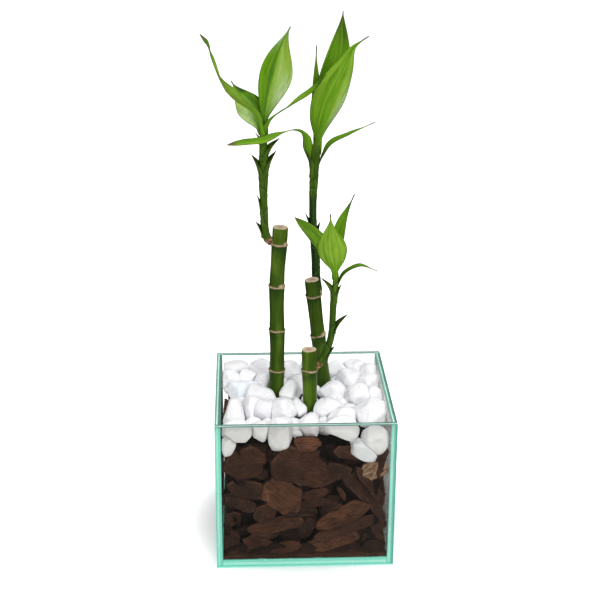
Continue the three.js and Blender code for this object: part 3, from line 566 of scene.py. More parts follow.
draw = random_from(9341)
around_sides = [chip for side in (1, 2, 3) for chip in side_chips(side * np.pi / 2, draw)]
bark_piece("bark_front", front_chips(draw), CHIP_GRID)
bark_piece("bark_sides", around_sides, CHIP_GRID)
bark_piece("bark_inner", inner_chips(random_from(77)), INNER_GRID, 0.42)


def heap_piece():
    """The heap behind the chips: a block whose six walls are each a grid, pushed in and out by soft
    random waves. Its foot spreads in a straight slope until it meets the glass."""
    reach = INNER - HEAP_INSET
    t = np.linspace(-1, 1, HEAP_GRID)
    a, b = np.meshgrid(t, t, indexing="ij")
    one = np.ones_like(a)
    walls = [np.stack(w, -1) for w in ((a, b, one), (b, a, -one), (one, a, b), (-one, b, a),
                                       (b, one, a), (a, -one, b))]
    points = np.concatenate([wall.reshape(-1, 3) for wall in walls])
    middle = np.array([0, 0, (BARK_TOP + BASE) / 2])
    size = np.array([reach, reach, (BARK_TOP - BASE) / 2 - 0.4])
    body = points * size + middle
    swell = 1 + 0.02 * waves(body, 14, 5) + 0.014 * waves(body, 5, 6) - 0.02
    body = (body - middle) * swell[:, None] + middle
    foot = np.clip(1 - (body[:, 2] - BASE - 3.0) / HEAP_FOOT, 0, 1)
    spread = 1 + (1.1 * EDGE / reach - 1) * foot
    body[:, :2] = np.clip(body[:, :2] * spread[:, None], -EDGE, EDGE)
    sunk = 1.6 * np.exp(-((body[:, 2] - BASE) / HEAP_FOOT) ** 2)
    body[:, 2] = np.maximum(body[:, 2] - sunk, BASE + HEAP_LIFT)
    faces = [grid_faces(HEAP_GRID, HEAP_GRID, False, wall * HEAP_GRID ** 2) for wall in range(6)]
    # the heap is painted dark as shade, through low tone and high rim values, less so at its foot
    mesh_piece("bark_heap", body, np.concatenate(faces).tolist(), [BARK], ["bark_chips"],
               values={"chip": 0.1 + 0.6 * foot, "rim": 0.7 - 0.45 * foot},
               uv=body[:, :2] * 0.8 + body[:, 2:])


heap_piece()

# The pebbles: tumbled white marble, matt and slightly see-through at the skin, laid on the bark in
# one layer. Each is worn flat in places and rests against its neighbours, the glass and the canes.
# Small ones have fallen into the hollows between the large ones.
WORN_FLATS = 5
FACETS = 12
SHARPNESS = 20
SWELL = 1.22
SUNK_DEPTH = 4.0
PRESS = 0.4
RING_RIDGE = 0.45
STONE_GRID = (38, 56)
SMALL_GRID = (20, 28)
SMALL_STONES = 46
SMALL_HEIGHT = 94.0
SMALL_SIZES = (3.2, 6.5)
MARBLE_COOL = (0.92, 0.92, 0.955, 1)
MARBLE_WHITE = (0.955, 0.95, 0.96, 1)
MARBLE_BLUE = (0.8, 0.87, 0.97, 1)
MARBLE_CLOUD = (0.74, 0.75, 0.79, 1)
MARBLE_VEIN = (0.62, 0.62, 0.66, 1)

# Centre, half length, half width, half height, azimuth of the length and how far it rises
PEBBLES = [
    (-51.5, -50, 89, 10, 6, 4.8, 0, 86), (-44.5, -48, 98.5, 11.5, 9, 6.5, 0, 0),
    (-30.5, -45, 97, 6.5, 9, 6, 0, 0), (-17, -47.5, 94.8, 13, 8.5, 10, 0, 88),
    (26, -31, 97.8, 13, 6, 6.2, 8, 0), (3, -39, 97.8, 12, 6, 6.2, 98, 10),
    (25.5, -47.5, 98, 18, 8.5, 8, 0, 0), (38.5, -49.5, 83.5, 22, 6.5, 6.8, 0, -24),
    (46, -47.5, 90.5, 9.5, 8.5, 9.5, 0, 0), (44, -28, 99.5, 13, 12, 8.5, 15, 8),
    (-47, -23, 98.5, 9, 9.5, 8.5, 0, 86), (-35, -14, 98, 11, 7, 7.5, 90, 0),
    (-26.5, -20, 99, 8, 6.5, 7, 90, 0), (-14, -22, 99, 11.5, 9.5, 8, 95, 0),
    (-8.5, 4, 100, 12, 6.5, 8, 85, 12), (-3, -17, 98, 10, 5, 6.5, 90, 0),
    (18, -19, 99, 11.5, 7.5, 7, 12, 0), (21.5, 8, 98.5, 11, 9, 6.5, 20, 5),
    (38.5, 0, 99.5, 9, 8.5, 8, 90, 0), (51, 3, 97, 7, 10, 7, 90, 0),
    (-42, 13, 97.8, 17, 8, 6.2, 8, 0), (-28, 3, 98.5, 13, 8, 7, 152, 15),
    (-50, 30, 99, 9, 8, 7, 70, 0), (-37, 33, 98.5, 10, 8, 7, 30, 0),
    (-25, 23, 99, 9, 9, 7.5, 100, 0), (-27, 48, 98.5, 11, 8, 7, 15, 10),
    (-46, 49, 98, 11, 8, 7, 160, 0), (-8, 43, 98.5, 9, 8, 7.5, 50, 0),
    (-1, 19, 98.5, 9, 8, 7.5, 110, 0), (27, 45, 98, 9, 8, 7.5, 20, 0),
    (40, 48, 97.5, 10, 8, 7.5, 140, 0), (51, 40, 97, 9, 7, 7.5, 80, 0),
    (35, 27, 98, 11, 9, 8, 60, 0), (48, 22, 97, 9, 8, 7.5, 20, 10),
    (10, 48, 98.5, 10, 8, 7.5, 0, 0),
]

# Flat sides worn on some of the pebbles at the front, by the pebble's number: the direction that
# each faces, in degrees from +X up to +Z, and its distance from the centre
FLAT_SIDES = {1: [(-29, 4.7)], 3: [(-124, 3.8)], 4: [(-48, 8.1), (-168, 8.4)], 7: [(-115, 3.6)],
              8: [(-123, 5.2)], 11: [(162, 6.4), (15, 6.2)]}

# Where the canes pass through the pebbles, and their radius
CANE_SPOTS = [(-17.62, 11.7, 5.25), (16.47, 27.2, 5.1), (5.03, -11.3, 5.1)]


def stone_turn(azimuth, rise):
    """Turns a direction in the pot to one along the stone's length, width and height."""
    s, c = np.sin(np.radians(azimuth)), np.cos(np.radians(azimuth))
    a, b = np.sin(np.radians(rise)), np.cos(np.radians(rise))
    return np.array([[b, 0, a], [0, 1, 0], [-a, 0, b]]) @ np.array([[c, s, 0], [-s, c, 0], [0, 0, 1]])


def stones_from(table, draw):
    """Each stone's centre, reach, turning and worn flats."""
    stones = []
    for x, y, z, length, width, height, azimuth, rise in table:
        stone = {"at": np.array([x, y, z], float), "turn": stone_turn(azimuth, rise)}
        stone["reach"] = np.array([length, width, height]) * SWELL
        normals, distances = [], []
        for _ in range(WORN_FLATS):
            normal = np.array([draw() - 0.5, draw() - 0.5, draw() - 0.5])
            normals.append(normal / np.linalg.norm(normal))
            distances.append(min(width, height) * (1.1 + 0.4 * draw()))
        for degrees, distance in FLAT_SIDES.get(len(stones) + 1, []):
            normals.append([np.cos(np.radians(degrees)), 0, np.sin(np.radians(degrees))])
            distances.append(distance)
        stone["flats"] = np.array(normals), np.array(distances)
        stones.append(stone)
    return stones


def reach_along(stone, ways):
    """How far a stone's ellipsoid reaches from its centre in the given directions."""
    return 1 / np.linalg.norm(ways @ stone["turn"].T / stone["reach"], axis=-1)


def stone_limits(stone, stones):
    """Planes that hold a stone back, as normals and distances from its centre."""
    x, y, z = stone["at"]
    normals = [(1, 0, 0), (-1, 0, 0), (0, 1, 0), (0, -1, 0)]
    distances = [EDGE - x, EDGE + x, EDGE - y, EDGE + y]
    if z - reach_along(stone, np.array([0, 0, -1.0])) >= BARK_TOP - SUNK_DEPTH:
        normals.append((0, 0, -1))
        distances.append(z - BARK_TOP - GAP)
    for turns, left, right, depth, top in RAISED:
        block = np.array([[left, -INNER, BASE], [right, depth - INNER, top]])
        corners = block @ about_upright(turns * np.pi / 2).T
        way = np.clip(stone["at"], corners.min(0), corners.max(0)) - stone["at"]
        away = np.linalg.norm(way)
        normals.append(way / away)
        distances.append(away - GAP)
    for other in stones:
        if other is not stone:
            way = other["at"] - stone["at"]
            away = np.linalg.norm(way)
            own, its = reach_along(stone, way / away), reach_along(other, way / away)
            normals.append(way / away)
            distances.append(away * own / (own + its) + PRESS)
    for cane_x, cane_y, radius in CANE_SPOTS:
        way = np.array([cane_x - x, cane_y - y, 0])
        away = np.linalg.norm(way)
        normals.append(way / away)
        distances.append(away - radius - RING_RIDGE - GAP)
    return np.array(normals, float), np.array(distances, float)


def stone_surface(stone, limits, rows, columns, seed):
    """A stone as rings about its length. In a direction w its reach is the sum, over the limits and
    flats, of (w.n / d)^k, and of the ellipsoid's reach^-k, all to the power -1/k. Shallow facets,
    soft dents and fine pits only take away from it."""
    t = np.linspace(0, np.pi, rows)
    angle = np.linspace(0, 2 * np.pi, columns, endpoint=False)
    ring = np.stack(np.broadcast_arrays(-np.cos(t)[:, None], np.sin(t)[:, None] * np.cos(angle),
                                        np.sin(t)[:, None] * np.sin(angle)), -1)[1:-1]
    ways = np.concatenate([ring.reshape(-1, 3), [[-1, 0, 0], [1, 0, 0]]]) @ stone["turn"]
    chance = np.random.default_rng(seed)
    facets = chance.normal(size=(FACETS, 3))
    facets /= np.linalg.norm(facets, axis=1, keepdims=True)
    depths = reach_along(stone, facets) * chance.uniform(0.74, 0.96, FACETS)
    normals = np.concatenate([limits[0], stone["flats"][0], facets])
    distances = np.concatenate([limits[1], stone["flats"][1], depths])
    closing = np.maximum(0, ways @ normals.T) / distances
    total = (closing ** SHARPNESS).sum(1) + reach_along(stone, ways) ** -SHARPNESS
    reach = total ** (-1 / SHARPNESS)
    dents = 0.5 + 0.5 * waves(ways, 1.1, seed + 1)
    pits = 0.5 + 0.5 * waves(ways, 0.35, seed + 2)
    reach = reach * (1 - 0.07 * np.clip(dents, 0, 1) - 0.012 * np.clip(pits, 0, 1))
    return stone["at"] + ways * reach[:, None]


def marble_look(tree):
    """White marble: faint grey clouds and veins, a few cooler stones, shallow broken hollows and a
    fine sugary skin."""
    place = wire(tree, "ShaderNodeTexCoord").outputs["Object"]
    own = wire(tree, "ShaderNodeAttribute", attribute_name="stone").outputs["Fac"]
    clouds = wire(tree, "ShaderNodeTexNoise", {"Vector": place, "Scale": 90.0, "Detail": 4.0,
                                               "Distortion": 0.8}).outputs[0]
    veins = wire(tree, "ShaderNodeTexNoise", {"Vector": place, "Scale": 38.0, "Detail": 5.0,
                                              "Roughness": 0.55, "Distortion": 2.2}).outputs[0]
    sugar = wire(tree, "ShaderNodeTexNoise", {"Vector": place, "Scale": 1500.0, "Detail": 2.0}).outputs[0]
    dents = wire(tree, "ShaderNodeTexNoise", {"Vector": place, "Scale": 320.0, "Detail": 3.0}).outputs[0]
    hollows = wire(tree, "ShaderNodeTexNoise", {"Vector": place, "Scale": 120.0, "Detail": 2.0,
                                                "Roughness": 0.4, "Distortion": 0.6}).outputs[0]
    colour = blend_colours(tree, own, MARBLE_COOL, MARBLE_WHITE)
    colour = blend_colours(tree, steps(tree, own, 0.9, 0.97, 0.0, 0.6), colour, MARBLE_BLUE)
    colour = blend_colours(tree, steps(tree, clouds, 0.5, 0.75, 0.0, 0.3), colour, MARBLE_CLOUD)
    from_vein = maths(tree, "ABSOLUTE", maths(tree, "SUBTRACT", veins, 0.5))
    colour = blend_colours(tree, steps(tree, from_vein, 0.0, 0.018, 0.3, 0.0), colour, MARBLE_VEIN)
    height = maths(tree, "ADD", maths(tree, "MULTIPLY", sugar, 0.25), dents)
    broken = wire(tree, "ShaderNodeBump", {"Strength": 0.6, "Distance": 0.003, "Height": hollows})
    bump = wire(tree, "ShaderNodeBump", {"Strength": 0.35, "Distance": 0.0002, "Height": height,
                                         "Normal": broken.outputs[0]})
    return {
        "Base Color": colour,
        "Roughness": steps(tree, clouds, 0.3, 0.7, 0.42, 0.6),
        "Normal": bump.outputs[0],
        "Subsurface Weight": 0.25,
        "Subsurface Radius": (0.004, 0.004, 0.004),
        "Subsurface Scale": 0.5,
        "Specular IOR Level": 0.4,
    }


MARBLE = finish_material("white_marble", marble_look)
stones = stones_from(PEBBLES, random_from(4127))
for number, stone in enumerate(stones, 1):
    surface = stone_surface(stone, stone_limits(stone, stones), *STONE_GRID, 300 + number)
    own = np.full(len(surface), (number * 0.618) % 1)
    mesh_piece(f"marble_{number:02d}", surface, closed_faces(*STONE_GRID), [MARBLE],
               [f"pebble_{number:02d}"], values={"stone": own})


def small_stones():
    """Small stones for the hollows: from a fine grid that stays 5 mm from the glass, again and again
    the spot that is furthest from every stone's ellipsoid, the canes and the raised chips."""
    t = np.arange(-INNER + 5, INNER - 4.9, 2.0)
    a, b = np.meshgrid(t, t, indexing="ij")
    spots = np.stack([a.ravel(), b.ravel(), np.full(a.size, SMALL_HEIGHT)], -1)
    clear = np.full(len(spots), 9.0)
    for stone in stones:
        way = spots - stone["at"]
        away = np.linalg.norm(way, axis=1)
        clear = np.minimum(clear, away - 0.8 * reach_along(stone, way / away[:, None]))
    for cane_x, cane_y, radius in CANE_SPOTS:
        clear = np.minimum(clear, np.hypot(spots[:, 0] - cane_x, spots[:, 1] - cane_y) - radius - 1)
    for turns, left, right, depth, _ in RAISED:
        s, c = np.sin(turns * np.pi / 2), np.cos(turns * np.pi / 2)
        along, deep = spots[:, 0] * c + spots[:, 1] * s, spots[:, 1] * c - spots[:, 0] * s
        beside = np.maximum(np.maximum(left - along, along - right), deep + INNER - depth - 1)
        clear = np.minimum(clear, beside)
    chance = np.random.default_rng(31)
    found = []
    while len(found) < SMALL_STONES:
        best = int(np.argmax(clear))
        size = np.clip(clear[best] + 1.2, *SMALL_SIZES)
        at = spots[best] + [0, 0, chance.uniform(-0.5, 1.0)]
        found.append({"at": at, "turn": stone_turn(chance.uniform(0, 180), chance.uniform(-20, 20)),
                      "reach": size * np.array([1.25, 1.0, 0.85]),
                      "flats": (np.array([[0, 0, -1.0]]), np.array([at[2] - BARK_TOP + 0.2]))})
        clear = np.minimum(clear, np.linalg.norm(spots[:, :2] - at[:2], axis=1) - size)
    return found


def small_stones_piece():
    """The small stones joined in one piece."""
    points, faces, own = [], [], []
    for number, stone in enumerate(small_stones()):
        walls = (np.array([[1, 0, 0], [-1, 0, 0], [0, 1, 0], [0, -1, 0]], float),
                 np.array([EDGE - stone["at"][0], EDGE + stone["at"][0],
                           EDGE - stone["at"][1], EDGE + stone["at"][1]]))
        faces += closed_faces(*SMALL_GRID, sum(len(each) for each in points))
        points.append(stone_surface(stone, walls, *SMALL_GRID, 700 + number))
        own.append(np.full(len(points[-1]), (number * 0.37) % 0.9))
    mesh_piece("marble_small", np.concatenate(points), faces, [MARBLE], [],
               values={"stone": np.concatenate(own)})


small_stones_piece()

# The canes: three cut stems, green and waxy, each with a tan scar round every joint, where a leaf
# once grew, and a dry tan cut on top. They stand in the bark and hold themselves upright.

# Painted shade darkens the skin, most on the rear cane. A bud is given by its height, its direction in
# degrees and its size.
CANES = [
    {"name": "cane_left", "painted_shade": 0.05, "radius": 5.25, "seed": 3,
     "axis": [(-17.9, 11.7, 8), (-17.6, 11.7, 95), (-17.0, 11.7, 130), (-17.2, 11.7, 178),
              (-15.4, 11.7, 208), (-14.8, 11.7, 220)],
     "rings": [115.5, 145.5, 178, 208], "buds": [(178, -52, 2.4), (208, -40, 2.6)]},
    {"name": "cane_rear", "painted_shade": 0.32, "radius": 5.1, "seed": 8,
     "axis": [(27.1, 27.2, 8), (16.8, 27.2, 96), (7.4, 27.2, 176.3)],
     "rings": [135, 164.6], "buds": [(135, -38, 2.4)]},
    {"name": "cane_front", "painted_shade": 0.0, "radius": 5.1, "seed": 13,
     "axis": [(7.5, -11.3, 8), (5.1, -11.3, 96), (3.9, -11.3, 140.3)],
     "rings": [125.2], "buds": []},
]
CANE_FOOT = 8
CANE_SHOWS = 84
CANE_FOOT_ROWS = 12
CANE_ROWS = 340
CANE_COLUMNS = 80
CAP_SHARES = np.array([0.985, 0.955, 0.9, 0.8, 0.65, 0.45, 0.25])
CAP_RISES = np.array([0.35, 0.62, 0.7, 0.66, 0.6, 0.56, 0.55])
CAP_MIDDLE = 0.55
NO_SCAR = 9.0
NO_JOINT_ABOVE = 40.0
CANE_DEEP = (0.045, 0.1, 0.004, 1)
CANE_GREEN = (0.118, 0.2, 0.012, 1)
CANE_STREAK = (0.15, 0.24, 0.025, 1)
CANE_PATCH = (0.018, 0.052, 0.004, 1)
# painted shade on the canes, most on the rear one
CANE_SHADED = (0.012, 0.035, 0.003, 1)
CANE_UNDER_JOINT = (0.012, 0.05, 0.006, 1)
CANE_SPECK = (0.02, 0.04, 0.008, 1)
SCAR_BROWN = (0.26, 0.175, 0.095, 1)
SCAR_TAN = (0.54, 0.44, 0.28, 1)
SCAR_RIM = (0.045, 0.04, 0.012, 1)
CUT_TAN = (0.56, 0.44, 0.3, 1)
CUT_PALE = (0.66, 0.56, 0.41, 1)
CUT_HEART = (0.42, 0.28, 0.17, 1)
CUT_RING = (0.42, 0.26, 0.16, 1)
CUT_FIBRE = (0.33, 0.2, 0.12, 1)
CUT_SKIN = (0.2, 0.17, 0.06, 1)


def curve_points(knots, share):
    """Centripetal Catmull-Rom curve through the knots. Between two knots it is the cubic whose end
    slopes come from the neighbouring knots, weighted by the square roots of the distances."""
    knots = np.array(knots, float)
    ends = np.concatenate([[2 * knots[0] - knots[1]], knots, [2 * knots[-1] - knots[-2]]])
    place = np.clip(share, 0, 1) * (len(knots) - 1)
    low = np.minimum(place.astype(int), len(knots) - 2)
    w = (place - low)[:, None]
    p0, p1, p2, p3 = (ends[low + k] for k in range(4))
    d0, d1, d2 = (np.sqrt(np.linalg.norm(b - a, axis=1, keepdims=True)) for a, b in
                  ((p0, p1), (p1, p2), (p2, p3)))
    m1 = ((p1 - p0) / d0 - (p2 - p0) / (d0 + d1) + (p2 - p1) / d1) * d1
    m2 = ((p2 - p1) / d1 - (p3 - p1) / (d1 + d2) + (p3 - p2) / d2) * d1
    square, cube = 3 * (p2 - p1) - 2 * m1 - m2, 2 * (p1 - p2) + m1 + m2
    return p1 + m1 * w + square * w ** 2 + cube * w ** 3


def curve_frame(knots):
    """Fine points along a curve, their directions, and the share of the length at each."""
    points = curve_points(knots, np.linspace(0, 1, 3001))
    length = np.r_[0, np.cumsum(np.linalg.norm(np.diff(points, axis=0), axis=1))]
    way = np.gradient(points, axis=0)
    return points, way / np.linalg.norm(way, axis=1, keepdims=True), length / length[-1]


def picked(numbers, key, values):
    """Rows of a table, read between its lines at the given values of an ever growing key."""
    return np.stack([np.interp(values, key, numbers[:, k]) for k in range(numbers.shape[1])], -1)


def round_stem(centre, way, radius, columns):
    """Rings square to the direction, from the +X side on; radius may change round each ring."""
    across = np.array([1.0, 0, 0]) - way * way[:, :1]
    across /= np.linalg.norm(across, axis=1, keepdims=True)
    back = np.cross(way, across)
    angle = np.linspace(0, 2 * np.pi, columns, endpoint=False)
    return (centre[:, None] + across[:, None] * (radius * np.cos(angle))[..., None]
            + back[:, None] * (radius * np.sin(angle))[..., None])


def stem_faces(rows, columns):
    """Quads between the rings of a stem, closed by triangles to a point at its head and one at its
    foot, which follow the rings in this order."""
    j = np.arange(columns)
    k = (j + 1) % columns
    last, head = (rows - 1) * columns, rows * columns
    faces = grid_faces(rows, columns, True).tolist()
    faces += np.c_[last + j, last + k, np.full(columns, head)].tolist()
    faces += np.c_[k, j, np.full(columns, head + 1)].tolist()
    return faces


def joint_height(height, angle, seed):
    """The scar runs round the cane in a lazy wave: three sines of 1, 2 and 5 turns."""
    return (height + 0.45 * np.sin(angle + seed * 1.3 + height)
            + 0.22 * np.sin(2 * angle + seed + height) + 0.1 * np.sin(5 * angle + height))


def cane_surface(cane):
    """Rings from the foot to the top, closer where the cane shows. Radius: the cane's own, less a
    waist between joints, plus a ridge at each scar with a swell below it and a nip above it, a knob
    at each bud and a faint waviness. The top is closed by smaller and smaller rings, sunk a little
    in the middle. Also gives the distance from the nearest scar, how far a joint is above, and the
    share of the way out from the middle of the cut."""
    points, way, _ = curve_frame(cane["axis"])
    top = cane["axis"][-1][2]
    height = np.r_[np.linspace(CANE_FOOT, CANE_SHOWS, CANE_FOOT_ROWS, endpoint=False),
                   np.linspace(CANE_SHOWS, top - 0.7, CANE_ROWS)]
    angle = np.linspace(0, 2 * np.pi, CANE_COLUMNS, endpoint=False)
    z = height[:, None] + 0 * angle
    radius = np.full_like(z, cane["radius"])
    scar = np.full_like(z, NO_SCAR)
    below = np.full_like(z, NO_JOINT_ABOVE)
    stops = [cane["rings"][0] - 34, *cane["rings"]]
    for low, high in zip(stops[:-1], stops[1:]):
        inside = np.clip((z - low) / (high - low), 0, 1)
        radius -= 0.28 * np.sin(np.pi * inside ** 0.75) ** 2
    for ring in cane["rings"]:
        off = z - joint_height(ring, angle, cane["seed"])
        radius += 0.42 * np.exp(-(off / 0.75) ** 2)
        radius += np.where(off < 0, 0.32 * np.exp(off / 4.0), 0.32 * np.exp(-off / 0.5))
        radius -= 0.12 * np.exp(-((off - 2.0) / 1.4) ** 2)
        scar = np.minimum(scar, np.abs(off) - 0.5 - 0.12 * np.sin(3 * angle + ring))
        below = np.where((off < 0) & (-off < below), -off, below)
    for ring, turn, size in cane["buds"]:
        aside = (angle - np.radians(turn) + np.pi) % (2 * np.pi) - np.pi
        flat = np.hypot(aside * cane["radius"] / size, (z - ring - 0.9) / (size * 0.55))
        scar = np.minimum(scar, (flat - 1) * size * 0.5)
        radius += 0.45 * np.exp(-flat ** 2)
    flat_place = np.stack([np.cos(angle) * 5 + 0 * z, np.sin(angle) * 5 + 0 * z, z], -1)
    radius += 0.07 * waves(flat_place * [1, 1, 0.25], 4.5, cane["seed"])
    centre = picked(points, points[:, 2], height)
    direction = picked(way, points[:, 2], height)
    rings = round_stem(centre, direction, radius, CANE_COLUMNS)
    middle, up = centre[-1], direction[-1]
    cap = middle + (rings[-1] - middle) * CAP_SHARES[:, None, None] + up * CAP_RISES[:, None, None]
    all_points = np.concatenate([rings.reshape(-1, 3), cap.reshape(-1, 3),
                                 [middle + up * CAP_MIDDLE], [centre[0]]])
    on_cap = len(all_points) - z.size
    values = {
        "scar": np.r_[scar.ravel(), np.full(on_cap, NO_SCAR)],
        "below": np.r_[below.ravel(), np.full(on_cap, NO_JOINT_ABOVE)],
        "core": np.r_[np.ones(z.size), np.repeat(CAP_SHARES, CANE_COLUMNS), 0, 1],
        "painted_shade": np.full(len(all_points), cane["painted_shade"]),
    }
    return all_points, len(height), values


def streaks_group():
    """Fine lines that run along a stem or leaf: noise stretched lengthwise at two widths."""
    group = bpy.data.node_groups.new("lengthwise_streaks", "ShaderNodeTree")
    face = group.interface
    face.new_socket("Place", in_out="INPUT", socket_type="NodeSocketVector")
    face.new_socket("Stretch", in_out="INPUT", socket_type="NodeSocketVector")
    face.new_socket("Lines", in_out="INPUT", socket_type="NodeSocketFloat")
    face.new_socket("Fine", in_out="OUTPUT", socket_type="NodeSocketFloat")
    face.new_socket("Broad", in_out="OUTPUT", socket_type="NodeSocketFloat")
    given = group.nodes.new("NodeGroupInput")
    result = group.nodes.new("NodeGroupOutput")
    drawn = wire(group, "ShaderNodeVectorMath", {0: given.outputs[0], 1: given.outputs[1]},
                 operation="MULTIPLY").outputs[0]
    fine = wire(group, "ShaderNodeTexNoise", {"Vector": drawn, "Scale": given.outputs[2], "Detail": 3.0,
                                              "Roughness": 0.6}).outputs[0]
    third = maths(group, "MULTIPLY", given.outputs[2], 0.28)
    broad = wire(group, "ShaderNodeTexNoise", {"Vector": drawn, "Scale": third, "Detail": 2.0}).outputs[0]
    group.links.new(fine, result.inputs[0])
    group.links.new(broad, result.inputs[1])
    return group


STREAKS = streaks_group()


def streaks(tree, place, stretch, lines):
    """Fine and broad streaks at a place, from the shared group."""
    made = tree.nodes.new("ShaderNodeGroup")
    made.node_tree = STREAKS
    tree.links.new(place, made.inputs[0])
    made.inputs[1].default_value = stretch
    made.inputs[2].default_value = lines
    return made.outputs[0], made.outputs[1]


def blend_values(tree, share, first, second):
    """Mixes two values, numbers or sockets, by a share from 0 to 1."""
    return wire(tree, "ShaderNodeMix", {0: share, 2: first, 3: second}).outputs[0]


def cane_look(tree):
    """Waxy green skin with lengthwise streaks and dark patches, darkened by painted shade, most on the
    rear cane, darker under each joint, dry and tan on the scars, which have a thin brown rim."""
    place = wire(tree, "ShaderNodeTexCoord").outputs["Object"]
    fine, broad = streaks(tree, place, (1.0, 1.0, 0.06), 700.0)
    scar = wire(tree, "ShaderNodeAttribute", attribute_name="scar").outputs["Fac"]
    below = wire(tree, "ShaderNodeAttribute", attribute_name="below").outputs["Fac"]
    blotch = wire(tree, "ShaderNodeTexNoise", {"Vector": place, "Scale": 120.0, "Detail": 3.0}).outputs[0]
    grit = wire(tree, "ShaderNodeTexNoise", {"Vector": place, "Scale": 900.0, "Detail": 3.0}).outputs[0]
    long = wire(tree, "ShaderNodeMapping", {"Vector": place, "Scale": (1.0, 1.0, 0.4)}).outputs[0]
    cloud = wire(tree, "ShaderNodeTexNoise", {"Vector": long, "Scale": 75.0, "Detail": 2.0}).outputs[0]
    painted_shade = wire(tree, "ShaderNodeAttribute", attribute_name="painted_shade").outputs["Fac"]
    colour = blend_colours(tree, steps(tree, broad, 0.3, 0.7), CANE_DEEP, CANE_GREEN)
    colour = blend_colours(tree, steps(tree, fine, 0.45, 0.7, 0.0, 0.35), colour, CANE_STREAK)
    colour = blend_colours(tree, steps(tree, cloud, 0.4, 0.62, 0.6, 0.0), colour, CANE_PATCH)
    # painted shade, most on the rear cane
    colour = blend_colours(tree, painted_shade, colour, CANE_SHADED)
    shade = maths(tree, "MULTIPLY", steps(tree, below, 0.0, 13.0, 1.0, 0.0),
                  steps(tree, blotch, 0.35, 0.6, 0.25, 0.85))
    colour = blend_colours(tree, shade, colour, CANE_UNDER_JOINT)
    colour = blend_colours(tree, steps(tree, grit, 0.7, 0.78, 0.0, 0.5), colour, CANE_SPECK)
    frayed = maths(tree, "MULTIPLY", maths(tree, "SUBTRACT", grit, 0.5), 0.9)
    from_scar = maths(tree, "ADD", scar, frayed)
    colour = blend_colours(tree, steps(tree, from_scar, 0.1, 0.6, 0.75, 0.0), colour, SCAR_RIM)
    tan = blend_colours(tree, steps(tree, grit, 0.35, 0.65), SCAR_BROWN, SCAR_TAN)
    dry = steps(tree, from_scar, -0.05, 0.22, 1.0, 0.0)
    colour = blend_colours(tree, dry, colour, tan)
    height = maths(tree, "ADD", maths(tree, "MULTIPLY", fine, 0.5), maths(tree, "MULTIPLY", dry, grit))
    bump = wire(tree, "ShaderNodeBump", {"Strength": 0.3, "Distance": 0.0003, "Height": height})
    return {
        "Base Color": colour,
        "Roughness": blend_values(tree, dry, steps(tree, blotch, 0.3, 0.7, 0.34, 0.48), 0.85),
        "Normal": bump.outputs[0],
        "Specular IOR Level": 0.1,
        "Coat Weight": 0.03,
        "Coat Roughness": 0.25,
    }


def cut_look(tree):
    """Dry cut: pale tan with darker fibre ends, a browner heart and ring, and a thin dark skin at the
    rim."""
    place = wire(tree, "ShaderNodeTexCoord").outputs["Object"]
    core = wire(tree, "ShaderNodeAttribute", attribute_name="core").outputs["Fac"]
    clouds = wire(tree, "ShaderNodeTexNoise", {"Vector": place, "Scale": 260.0, "Detail": 4.0}).outputs[0]
    fibres = wire(tree, "ShaderNodeTexVoronoi", {"Vector": place, "Scale": 1500.0}).outputs[0]
    unevenness = maths(tree, "MULTIPLY", maths(tree, "SUBTRACT", clouds, 0.5), 0.35)
    uneven = maths(tree, "ADD", core, unevenness)
    from_ring = maths(tree, "ABSOLUTE", maths(tree, "SUBTRACT", uneven, 0.66))
    colour = blend_colours(tree, steps(tree, clouds, 0.35, 0.65), CUT_TAN, CUT_PALE)
    colour = blend_colours(tree, steps(tree, uneven, 0.35, 0.6, 1.0, 0.0), colour, CUT_HEART)
    colour = blend_colours(tree, steps(tree, from_ring, 0.0, 0.09, 0.5, 0.0), colour, CUT_RING)
    colour = blend_colours(tree, steps(tree, fibres, 0.12, 0.3, 0.45, 0.0), colour, CUT_FIBRE)
    colour = blend_colours(tree, steps(tree, uneven, 0.93, 0.99), colour, CUT_SKIN)
    bump = wire(tree, "ShaderNodeBump", {"Strength": 0.5, "Distance": 0.0002, "Height": clouds})
    return {"Base Color": colour, "Roughness": 0.85, "Normal": bump.outputs[0]}


CANE_SKIN = finish_material("cane_skin", cane_look)
CANE_CUT = finish_material("cane_cut", cut_look)


def cane_piece(cane):
    """A cane, whose faces from the first ring of the cap to its middle show the dry cut."""
    points, skin_rows, values = cane_surface(cane)
    faces = stem_faces(skin_rows + len(CAP_SHARES), CANE_COLUMNS)
    cut = np.zeros(len(faces), np.int32)
    cut[skin_rows * CANE_COLUMNS:-CANE_COLUMNS] = 1
    mesh_piece(cane["name"] + "_waxy", points, faces, [CANE_SKIN, CANE_CUT], [cane["name"]],
               face_material=cut, values=values)


for cane in CANES:
    cane_piece(cane)

# The shoots: young stems that grow from a joint near the top of each cane, wrapped in the sheaths of
# old leaves. A brown collar marks where each left the cane, and pointed dry scales stand off it.

